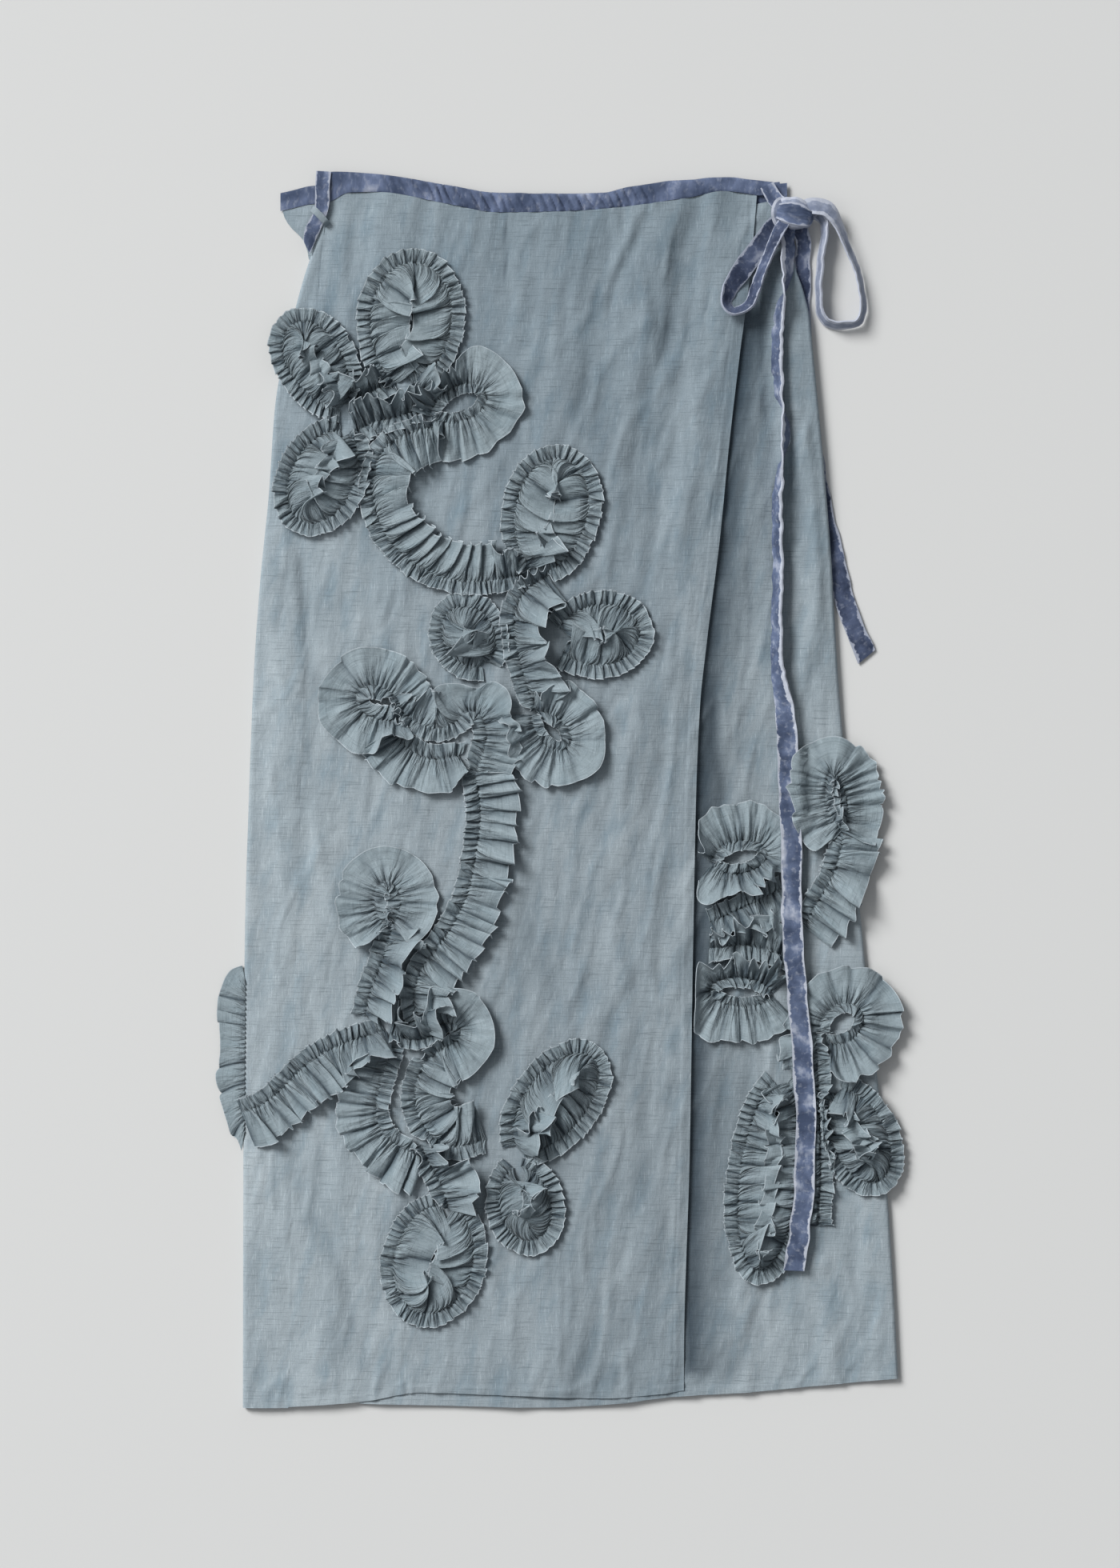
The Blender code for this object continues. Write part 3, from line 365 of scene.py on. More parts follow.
def spline(points, count):
    """Evenly spaced points, and their tangents, on a smooth curve through the given ones."""
    points = np.array(points, float)
    padded = np.vstack([2 * points[0] - points[1], points, 2 * points[-1] - points[-2]])
    t = np.arange(0, 1, 1 / 24)[:, None]
    fine = []
    for p0, p1, p2, p3 in zip(padded, padded[1:], padded[2:], padded[3:]):
        square, cube = 2 * p0 - 5 * p1 + 4 * p2 - p3, 3 * p1 - 3 * p2 + p3 - p0
        fine.append(0.5 * (2 * p1 + (p2 - p0) * t + square * t**2 + cube * t**3))
    fine = np.vstack(fine + [points[-1:]])
    travelled = lengths(fine[:, :2])
    marks = np.linspace(0, travelled[-1], count)
    even = np.column_stack([np.interp(marks, travelled, column) for column in fine.T])
    tangents = np.gradient(even[:, :2], axis=0)
    return even, tangents / np.linalg.norm(tangents, axis=1)[:, None]


def together(*values):
    """The values of each point side by side, all spread to one shape."""
    return np.stack(np.broadcast_arrays(*values), axis=-1)


def stretches(*parts):
    """Evenly spaced values in one stretch after another, each given by its first, last and count."""
    return np.concatenate([np.linspace(*part) for part in parts])


def lengths(line):
    """How far along a line each of its points is."""
    return np.concatenate([[0], np.cumsum(np.linalg.norm(np.diff(line, axis=0), axis=1))])


def cloud(x, y, size, seed):
    """Soft uneven swells from -1 to 1, each about this size."""
    lattice = np.random.default_rng(seed).uniform(-1, 1, (67, 71))
    u, v = np.asarray(x, float) / size + 900, np.asarray(y, float) / size + 900
    i, j = np.floor(u).astype(int), np.floor(v).astype(int)
    a, b = ease(u - i), ease(v - j)
    at = lambda m, n: lattice[(i + m) % 67, (j + n) % 71]
    return (at(0, 0) * (1 - a) + at(1, 0) * a) * (1 - b) + (at(0, 1) * (1 - a) + at(1, 1) * a) * b


def creased(x, y, size, seed):
    """Crumpled cloth from 0 to 1: flat facets that meet in sharp ridges."""
    swell = cloud(x, y, size, seed) + 0.5 * cloud(x, y, size * 0.5, seed + 1)
    return 1 - np.minimum(1, 1.6 * np.abs(swell))


def ridges(creases, x, y):
    """The creases' height: each is highest along its line, and fades to both sides and ends."""
    height = 0
    for crease in creases:
        bx, by = crease.x1 - crease.x0, crease.y1 - crease.y0
        length = math.hypot(bx, by)
        share = ((x - crease.x0) * bx + (y - crease.y0) * by) / length**2
        aside = np.abs((x - crease.x0) * by - (y - crease.y0) * bx) / length
        past_end = np.maximum(0.0, np.maximum(-share, share - 1)) * length
        fading = (aside / crease.width) ** 2 + (past_end / (2.2 * crease.width)) ** 2
        height = height + crease.height * np.exp(-fading)
    return height


def under_relief(x, y):
    """How far the under front swells: its rolled right fold, the swell by the front's edge, its creases."""
    share = (x - along(RIGHT_FOLD, y) + RIGHT_ROLL_WIDTH) / (0.8 * RIGHT_ROLL_WIDTH)
    height = RIGHT_ROLL_HEIGHT * (1 - 0.75 * ease((y - RIGHT_ROLL_FLAT_ABOVE) / 60))
    swell = EDGE_SWELL * ease((y + 340) / 220) * ease((376 - y) / 60)
    swell = swell * bell((x - along(FRONT_EDGE, y) + 4) / EDGE_SWELL_WIDTH)
    return height * ease(share) + swell + ridges(UNDER_CREASES, x, y)


def underpass(x, y):
    """How far the skirt is lifted off the floor where the short tie runs under it."""
    across = ease((x - along(RIGHT_FOLD, y) + UNDERPASS_WIDTH) / (0.4 * UNDERPASS_WIDTH))
    begins = ease((y - UNDERPASS_BOTTOM) / UNDERPASS_RAMP)
    return UNDERPASS_LIFT * across * begins * ease((UNDERPASS_TOP - y) / UNDERPASS_RAMP)


def under_top(x, y):
    """The under panel's top, which dips just outside the front's free edge."""
    dip = EDGE_DIP * ease((y + 390) / 60) * ease((392 - y) / 40)
    dip = dip * bell((x - along(FRONT_EDGE, y) - 3.5) / 6.5)
    return UNDER_TOP + under_relief(x, y) + underpass(x, y) - dip


def front_top(x, y):
    return FRONT_TOP + under_relief(x, y) + underpass(x, y) + ridges(FRONT_CREASES, x, y)


def left_radius(y):
    return front_top(along(LEFT_FOLD, y) + 2, y) / 2


def right_radius(y):
    inside = along(RIGHT_FOLD, y) - 3
    return (under_top(inside, y) - underpass(inside, y)) / 2


def wrinkles(x, y, seed):
    """Washed cloth: long troughs that lean a little off the warp, and small crumples over them."""
    bent = x - 0.13 * y + 5 * cloud(x, y, 60, seed + 5)
    leaning = x - 0.34 * y + 9 * cloud(x, y, 80, seed + 6)
    long_troughs = 0.42 * cloud(bent, y * 0.17, 11, seed) + 0.13 * cloud(bent, y * 0.24, 4.5, seed + 1)
    crumples = 0.17 * cloud(x + 0.4 * y, y - 0.3 * x, 8, seed + 2) + 0.07 * cloud(x, y, 3.4, seed + 3)
    sharp = 0.55 * creased(bent, y * 0.2, 21, seed + 4) ** 3
    sharp = sharp + 0.75 * creased(leaning, y * 0.3, 27, seed + 7) ** 5
    return long_troughs + crumples + sharp


def groove(distance, width, depth):
    """A stitched line's dent at this distance from it."""
    return -depth * bell(distance / width)


def hemmed(above):
    """A turned and stitched hem, by how far over the cut edge a place is."""
    return 0.3 * ease(1 - (above - 5.5) / 1.5) + groove(above - 6.2, 0.9, 0.3)


def under_folds(x, y):
    fan = 0.5 * cloud(x - 0.06 * (390 - y), y * 0.08, 5.5, 43) * ease((y - 250) / 120)
    return fan + 1.6 * wrinkles(x, y, 17) + 1.5 * ridges(UNDER_FOLDS, x + 3 * cloud(x, y, 30, 52), y)


def under_detail(x, y):
    return hemmed(y - along(UNDER_HEM, x)) + under_folds(x, y)


def front_detail(x, y):
    """The front's stitched edge, hem, dart and side seam, and folds that fade into the under front's."""
    inside, above = along(FRONT_EDGE, y) - x, y - along(FRONT_HEM, x)
    edge = 0.12 * ease(1 - (inside - 6.5) / 1.5) + groove(inside - 7.4, 0.7, 0.18)
    edge -= EDGE_DROOP * ease(1 - inside / 7)
    edge += 0.1 * cloud(x, y, 7, 31) * ease(1 - inside / 10) * ease(inside / 3)
    hem = hemmed(above) - EDGE_DROOP * ease(1 - above / 5) * ease((x + 150) / 20)
    dart_end = ease((y - 328) / 25)
    dart = groove(x - DART_X, 1.0, 0.35 * dart_end) + 0.3 * dart_end * bell((x + 34) / 5)
    seam = groove(x - along(SIDE_SEAM, y), 0.9, 0.4) * ease((y - 322) / 14)
    gathers = 0.55 * cloud(x, y * 0.1, 4.6, 41) * ease((y - 350) / 45) * ease((x + 125) / 30)
    folds = 1.4 * ridges(FRONT_FOLDS, x + 3 * cloud(x, y, 30, 51), y)
    own = folds + (1.3 + 0.9 * ease((x + 60) / 120)) * wrinkles(x, y, 7)
    with_under = ease((inside - 3) / 16)
    folded = own * with_under + under_folds(x, y) * (1 - with_under)
    return edge + hem + dart + seam + gathers * ease((92 - x) / 30) + folded


def sheet_mesh(name, points, threads=None, turned=False, hollow=None):
    """A grid of cloth through these points, its threads as a UV map, and how much painted shade darkens each
    point.

    The threads are the warp and weft where a point lies in the flat cloth: its own x and y if none are given.
    """
    rows, columns = points.shape[:2]
    threads = points[..., :2] if threads is None else threads
    sheet = bmesh.new()
    bmesh.ops.create_grid(sheet, x_segments=columns - 1, y_segments=rows - 1, size=0.5)
    if turned:
        bmesh.ops.reverse_faces(sheet, faces=sheet.faces)
    for edge in sheet.edges:
        edge.smooth = not edge.is_boundary
    mesh = bpy.data.meshes.new(name)
    sheet.to_mesh(mesh)
    sheet.free()
    flat = np.empty(len(mesh.vertices) * 3, np.float32)
    mesh.vertices.foreach_get("co", flat)
    flat = flat.reshape(-1, 3)
    column = np.rint((flat[:, 0] + 0.5) * (columns - 1)).astype(int)
    row = np.rint((flat[:, 1] + 0.5) * (rows - 1)).astype(int)
    mesh.vertices.foreach_set("co", (points[row, column] * MM).astype(np.float32).ravel())
    corners = np.empty(len(mesh.loops), np.int32)
    mesh.loops.foreach_get("vertex_index", corners)
    # The finish reads this attribute and darkens the cloth's colour by it: painted shade in folds, creases
    # and beside edges.
    if hollow is not None:
        depth = mesh.attributes.new("hollow", "FLOAT", "POINT")
        depth.data.foreach_set("value", np.clip(hollow, 0, 1)[row, column].astype(np.float32))
    weave = mesh.uv_layers.new(name="threads")
    weave.data.foreach_set("uv", (threads[row, column] * MM).astype(np.float32)[corners].ravel())
    mesh.update()
    mesh.shade_smooth()
    return mesh


def placed(name, data):
    """A new object in the scene."""
    made = bpy.data.objects.new(name, data)
    bpy.context.scene.collection.objects.link(made)
    return made


def dress(name, nodes, finish, wall, points, threads=None, side=-1, **cloth):
    """Puts a sheet of cloth in the scene, finished and walled, as the piece that stands for these nodes."""
    mesh = sheet_mesh(name, points, threads, **cloth)
    mesh.materials.append(finish.material)
    piece = placed(name, mesh)
    thickness = piece.modifiers.new("wall", "SOLIDIFY")
    thickness.thickness = wall * MM
    thickness.offset = side
    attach(piece, "root")
    if nodes:
        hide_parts(*nodes)
    return piece


def settle(x_at, hem, waist, share):
    """x and y of a panel's points, by their share of the way from hem to waist. x_at gives x for a y."""
    y = -410 + 800 * share
    for _ in range(4):
        x = x_at(y)
        y = along(hem, x) * (1 - share) + along(waist, x) * share
    return x, y


def front_panel():
    rows = stretches((0, 0.016, 9), (0.021, 0.985, 168), (0.99, 1, 4))
    columns = stretches((0, 0.962, 122), (0.968, 1, 13))
    share, across = np.meshgrid(rows, columns, indexing="ij")

    def x_at(y):
        left = along(SIDE_SEAM, y)
        return left + (along(FRONT_EDGE, y) - left) * across

    x, y = settle(x_at, FRONT_HEM, FRONT_WAIST, share)
    detail = front_detail(x, y)
    lowest = under_top(x, y) + under_detail(x, y) + 1.5
    points = together(x, y, np.maximum(front_top(x, y) + detail, lowest))
    # Painted shade: darker along the dart's groove and where the folds dip.
    hollow = 0.05 + 0.5 * ease((y - 330) / 15) * bell((x - DART_X) / 1.1) - 0.13 * detail
    piece = dress("front_panel_cloth", ["front_panel"], RAMIE, PANEL_WALL, points, hollow=hollow)


def under_panel():
    """The under front, turned over the right fold, with a painted shadow beside the front's edge."""
    flat_share = stretches((0, 0.62, 16), (0.635, 1, 66))
    turns = np.radians(np.linspace(18, 180, 10))
    rows = stretches((0, 0.016, 9), (0.021, 1, 176))
    share, column = np.meshgrid(rows, np.arange(len(flat_share) + len(turns) + 1), indexing="ij")
    on_top = flat_share[np.minimum(column, len(flat_share) - 1)]

    def x_at(y):
        inner, outer = along(UNDER_EDGE, y), along(RIGHT_FOLD, y) - right_radius(y)
        return inner + (outer - inner) * on_top

    x, y = settle(x_at, UNDER_HEM, UNDER_WAIST, share)
    radius, low = right_radius(y), underpass(x, y)
    turn = turns[np.clip(column - len(flat_share), 0, len(turns) - 1)]
    detail = under_detail(x, y) * ease((along(RIGHT_FOLD, y) - x - 4) / 8)
    flat, last = column < len(flat_share), column == column.max()
    z = np.where(flat, under_top(x, y) + detail, low + radius * (1 + np.cos(turn)))
    x = np.where(last, x - TURN_END, np.where(flat, x, x + radius * np.sin(turn)))
    points = together(x, y, np.where(last, low, z))
    beside = x - along(FRONT_EDGE, y)
    # Painted shadow: a dark band on the under front beside the front's free edge, fading towards the waist
    # and the hem, with painted shade where the folds dip.
    shade = 0.55 * bell(np.maximum(0, beside - 3) / 13) + 0.42 * bell(np.maximum(0, beside) / 34)
    shade = shade * ease((beside + 4) / 3) * ease((380 - y) / 90) * ease((y + 402) / 12)
    hollow = 0.04 - 0.13 * detail + shade
    piece = dress("under_panel_cloth", ["under_panel"], RAMIE, PANEL_WALL, points, hollow=hollow)


def back_panel():
    """The back, flat on the floor with its open corner."""
    steps = stretches((0, 0.1, 8), (0.15, 0.9, 14), (0.91, 1, 14))
    corner = np.linspace(0.1, 1, 12)
    share, column = np.meshgrid(np.linspace(0, 1, 180), np.arange(len(steps) + len(corner)), indexing="ij")
    inner = steps[np.minimum(column, len(steps) - 1)]
    out = np.where(column < len(steps), 0, corner[np.clip(column - len(steps), 0, len(corner) - 1)])

    def x_at(y):
        right = along(RIGHT_FOLD, y) - right_radius(y) - TURN_END - SEAM_GAP
        start = along(LEFT_FOLD, y) + left_radius(y)
        reach = np.where(y > SLIT_BOTTOM_Y - 4, along(BACK_CORNER, y), start)
        return right + (start - right) * inner + (np.minimum(reach, start - 0.02) - start) * out

    x, y = settle(x_at, BACK_HEM, BACK_WAIST, share)
    lift = np.clip(0.3 + 0.5 * cloud(x, y, 14, 61), 0, 1) * ease((y - 366) / 10) * ease((-163 - x) / 8)
    points = together(x, y, underpass(x, y) + lift)
    piece = dress("back_panel_cloth", ["back_panel"], RAMIE, PANEL_WALL, points, side=1, turned=True)


def back_turn():
    """The strip of the back that is turned over the left fold, up to the side seam."""
    share, run = np.meshgrid(np.linspace(0, 1, 260), np.linspace(0, 1, 24), indexing="ij")
    hem = along(BACK_HEM, -200)
    y = hem + (BACK_TURN_TOP_Y - hem) * share
    radius = left_radius(y)
    start = along(LEFT_FOLD, y) + radius
    bend, top = math.pi * radius, along(SIDE_SEAM, y) - start
    cut = ease((y - 358) / 26) * (bend + top - 0.3)
    run = cut + (bend + top - cut) * run
    turn = np.minimum(run, bend) / radius
    x = start - radius * np.sin(turn) + np.maximum(0, run - bend)
    detail = front_detail(x, y) * ease((x - start) / 6)
    z = np.where(run <= bend, radius * (1 - np.cos(turn)), front_top(x, y) + detail)
    points, threads = together(x, y, z), together(along(SIDE_SEAM, y) - (bend + top - run), y)
    # Painted shade where the folds dip.
    hollow = 0.05 - 0.13 * detail
    piece = dress("back_panel_turn", ["back_panel"], RAMIE, PANEL_WALL, points, threads, hollow=hollow)


def binding(node, x_range, waist, top_edge, base, puckers, full):
    """Velvet folded over a waist edge: up the face, round the top and down behind."""
    count = int((x_range[1] - x_range[0]) / (PUCKERED_STEP if full == 1 else RIBBON_STEP))
    x = np.linspace(*x_range, count)[None, :]
    around = np.linspace(0, 1, 21)[:, None]
    low, high = along(waist, x) + 0.1, top_edge(x)
    face = around < FACE_SHARE
    share = np.where(face, around / FACE_SHARE, 1 - (around - FACE_SHARE) / (1 - FACE_SHARE) * 0.8)
    round_over = np.sqrt(np.clip(1 - share**10, 0, 1))
    crown = full * (1.5 + 0.7 * np.sin(math.pi * np.clip(share, 0, 1)) ** 0.5)
    fold = puckers(x, low + (high - low) * share) * np.sin(math.pi * share) ** 0.4
    z = np.maximum(base(x) + 0.45, 0.6) + np.where(face, (crown + fold) * round_over, 0)
    y = low + (high - low) * share + 0.35 * cloud(x, around * 3, 9, 5) * share
    threads = together(x - x_range[0], (share - 0.5) * 7.6)
    piece = dress(node + "_velvet", [node], VELVET, 0.5, together(x, y, z), threads)


def waistbands():
    def front_puckers(x, y):
        middle = ease((x + 128) / 30) * ease((88 - x) / 40)
        slanted = x + 0.55 * (y - 400) + 2.6 * cloud(x, y * 0.3, 15, 71)
        crowns = np.abs(np.sin(math.pi * slanted / 6.6))
        uneven = 0.75 + 0.5 * cloud(x, y * 0.1, 8, 75)
        tucks = middle * uneven * (1.7 * crowns - 1.0 - 1.5 * (1 - crowns) ** 4)
        return tucks + 0.4 * cloud(x, y * 0.6, 8, 73)

    def calm(x, y):
        return 0.15 * cloud(x, y, 9, 74)

    binding("waistband_front", (-160, 143.3), FRONT_WAIST, lambda x: along(FRONT_BAND_TOP, x),
            lambda x: front_top(np.clip(x, -160, 143), 395) - 1.2, front_puckers, 1.0)
    binding("waistband_under", (-124, 152.8), UNDER_WAIST, lambda x: along(UNDER_WAIST, x) + BAND_WIDTH - 1,
            lambda x: UNDER_TOP - 1.2, calm, 0.5)
    binding("waistband_back", (-189.5, 148), BACK_WAIST, lambda x: along(BACK_WAIST, x) + BAND_WIDTH,
            lambda x: 0, calm, 0.4)


def carrier_top(x, y):
    """The top of whichever front layer a tie lies on."""
    return np.where(x < along(FRONT_EDGE, y) + 1, front_top(x, y), under_top(x, y))


def ribbon(name, nodes, stations, finish, seed, carried=True, wall=0.8, curl=0.5, cut=0.0, bare=0.0, rim=6.0):
    """A ribbon with soft dents and a slanting end, and its flat size. Carried, it lies over the panels."""
    rough = sum(math.dist(a[:3], b[:3]) for a, b in zip(stations, stations[1:]))
    line, tangents = spline(stations, int(rough / RIBBON_STEP) + 3)
    tilt, half = np.radians(line[:, 3]), line[:, 4] / 2
    travelled = lengths(line[:, :3])
    level = np.column_stack([tangents[:, 1], -tangents[:, 0]])
    side = np.column_stack([level * np.cos(tilt)[:, None], np.sin(tilt)])
    face = np.cross(side, np.column_stack([tangents, np.gradient(line[:, 2]) / RIBBON_STEP]))
    face /= np.linalg.norm(face, axis=1)[:, None]

    def between_ends(fade):
        return ease(travelled / fade) * ease((travelled[-1] - travelled) / fade)

    middle = line[:, :3].copy()
    middle[:, :2] += level * (0.7 * cloud(travelled, 0, 10, seed + 3) * between_ends(20))[:, None]
    if carried:
        spots = middle + side * (half * np.linspace(-1, 1, 5)[:, None])[..., None]
        x, y, z = spots.transpose(2, 0, 1)
        middle[:, 2] += np.maximum(0, carrier_top(x, y) + 1.0 - z).max(axis=0)
    u, v = travelled[:, None], np.linspace(-1, 1, 11)[None, :]
    dents = 0.8 * cloud(u, v * 2.2, 9, seed) + 0.8 * cloud(u, v * 3, 4, seed + 1)
    bow = curl * dents * between_ends(6)[:, None] - 0.5 * curl * v**2
    half = half * (1 + 0.05 * cloud(travelled, 0, 13, seed + 2))
    points = middle[:, None] + side[:, None] * half[:, None, None] * v[..., None]
    points = points + face[:, None] * bow[..., None]
    slant = cut * v * ease(1 - (travelled[-1] - u) / (2.5 * abs(cut) + 1))
    points[..., :2] += tangents[:, None] * slant[..., None]
    bare_edge = bare * ease((line[:, 1] - 20) / 60)[:, None]
    points, threads = (part.transpose(1, 0, 2) for part in (points, together(u, v * rim + bare_edge)))
    flat = max(LEAST_RIBBON, float(np.mean(line[:, 4]))) * MM, travelled[-1] * MM
    return dress(name, nodes, finish, wall, points, threads, side=0, turned=True), flat


def ties():
    """The velvet ties with their bow, the strap's keeper, and the knot's two turns, which have no node."""
    keeper, _ = ribbon("side_loop_cloth", ["side_loop"], SIDE_LOOP, RAMIE, 111, False, wall=0.6, curl=0.2)
    pale_turn = dict(carried=False, wall=0.9, curl=0.9)
    for name, stations, finish, seed, more in (
        ("tie_side", SIDE_TIE, VELVET, 101, dict(cut=SIDE_TIE_CUT)),
        ("tie_front", FRONT_TIE, VELVET, 121, {}),
        ("bow_left", LEFT_BOW, SHADOW_PAINTED_VELVET, 131, dict(wall=1.4)),
        # A wider rim spreads the pale edges over most of each strand of this loop, as painted sheen.
        ("bow_right", RIGHT_BOW, SHEEN_PAINTED_VELVET, 141, dict(carried=False, wall=1.2, rim=8.6)),
        ("tie_long", LONG_TIE, CRUSHED, 151, dict(wall=1.1, curl=0.75, cut=LONG_TIE_CUT, bare=1.9)),
        ("tie_short", SHORT_TIE, SHADOW_PAINTED_VELVET, 161, dict(carried=False, curl=0.36, cut=SHORT_TIE_CUT)),
        # The knot's turns spread their pale edges wide as well, as painted sheen.
        ("knot_left_turn", LEFT_TURN, SHEEN_PAINTED_VELVET, 171, dict(pale_turn, rim=9.4)),
        ("knot_top_turn", TOP_TURN, SHEEN_PAINTED_VELVET, 181, dict(pale_turn, rim=9.0)),
    ):
        nodes = [] if "turn" in name else [name]
        piece, flat = ribbon(name + "_velvet", nodes, stations, finish, seed, **more)


def knot():
    """The knot: ribbon wrapped over itself, pinched at both sides, with long folds and proud selvedges."""
    around = np.radians(np.linspace(-180, 180, 91))[None, :]
    up = np.linspace(-1, 1, 49)[:, None]
    from_selvedge = np.clip((np.abs(up) - KNOT_SELVEDGE) / (1 - KNOT_SELVEDGE), 0, 1)
    wrap = 1 - 0.14 * (up / KNOT_SELVEDGE) ** 2
    wrap = np.where(from_selvedge > 0, 0.76 * np.sqrt(1 - from_selvedge**2), wrap)
    wrap = wrap + 0.04 * bell((np.abs(up) - 0.7) / 0.05)
    swung = lambda value: np.sign(value) * np.abs(value) ** 0.8
    u, v = KNOT_SIZE[0] / 2 * swung(np.cos(around)), KNOT_SIZE[1] / 2 * up
    folds = 0.07 * cloud(u * 0.35 + 3, v * 1.6, 3.4, 201) + 0.05 * cloud(u * 0.5, v * 2, 2.1, 202)
    folds = folds * (from_selvedge < 1) + 0.05 * np.cos(9 * up + 0.8 * np.cos(around))
    x, y = u * wrap, v * (1 - 0.3 * np.cos(around) ** 2)
    z = KNOT_SIZE[2] / 2 * swung(np.sin(around)) * wrap * (1 + folds * np.abs(np.sin(around)) ** 0.5)
    cos, sin = math.cos(KNOT_SLANT), math.sin(KNOT_SLANT)
    points = together(x * cos - y * sin, x * sin + y * cos, z) + np.array(KNOT_CENTRE)
    threads = together(np.degrees(around) * 0.12, np.clip(up / KNOT_SELVEDGE, -1, 1) * 5.9)
    dress("knot_velvet", ["knot"], VELVET, 0.6, points, threads, turned=True)


def loop_line(loop):
    """A loop's line of gathering, run anticlockwise from its open root."""
    turn = math.radians(loop.heading)
    angles = np.radians(np.linspace(-180 + loop.gap / 2, 180 - loop.gap / 2, 73))
    u = loop.long * np.cos(angles) - loop.leg * ((1 - np.cos(angles)) / 2) ** 4
    v = loop.short * np.sin(angles)
    x = loop.x + u * math.cos(turn) - v * math.sin(turn)
    return np.column_stack([x, loop.y + u * math.sin(turn) + v * math.cos(turn)])


def gathered_strips():
    """Every strip's line of gathering, run on a little past both ends so that neighbours lap."""
    found = [(loop.name, loop.layer, loop.wide == "in", loop_line(loop)) for loop in LOOPS]
    found += [(stem.name, stem.layer, stem.wide == "left", np.array(stem.points, float)) for stem in STEMS]
    for name, layer, wide_left, points in found:
        before, after = points[0] - points[1], points[-1] - points[-2]
        first = points[0] + before / np.linalg.norm(before) * STRIP_END
        last = points[-1] + after / np.linalg.norm(after) * STRIP_END
        points = np.vstack([first, points, last])
        length = lengths(spline(points, 300)[0])[-1]
        yield Strip(name, layer, wide_left, *spline(points, int(length / STEP) + 1))


def room_beside(line, outward, want, layer, crowd):
    """How far a frill may spread from each point before it comes nearer to another line of gathering."""
    picked = np.arange(0, len(line), 4)
    reaches = np.arange(1.0, want + 1.0)
    spots = line[picked, None] + outward[picked, None] * reaches[None, :, None]
    nearest = np.array([np.hypot(*(crowd - row[:, None]).T).min(axis=0) for row in spots])
    blocked = nearest < LAPPING * reaches - 0.3
    if layer == "under":
        blocked |= spots[..., 0] < along(FRONT_EDGE, spots[..., 1]) + 1.0
    first = np.where(blocked.any(axis=1), blocked.argmax(axis=1), len(reaches) - 1)
    return softened(np.interp(np.arange(len(line)), picked, reaches[first]), 9)


def softened(values, width):
    """A running average, with the ends held."""
    weights = np.hanning(2 * width + 3)[1:-1]
    return np.convolve(np.pad(values, width, mode="edge"), weights / weights.sum(), mode="valid")


def pleats(travelled, spacing, chance):
    """The pleats of a frill, unevenly spaced: where each crest stands, which way it leans, and six shares."""
    crests = [-spacing[0] * chance.uniform(0.5, 1.5)]
    while crests[-1] < travelled[-1] + 20:
        local = np.interp(crests[-1], travelled, spacing)
        crests.append(crests[-1] + local * np.clip(chance.lognormal(0, 0.36), 0.5, 2.0))
    leaning = np.ones(len(crests))
    for i in range(1, len(crests)):
        leaning[i] = leaning[i - 1] * (1 if chance.random() < 0.68 else -1)
    leaning = leaning * chance.uniform(0.3, 1.1, len(crests))
    return np.array(crests), leaning, chance.uniform(0, 1, (6, len(crests)))


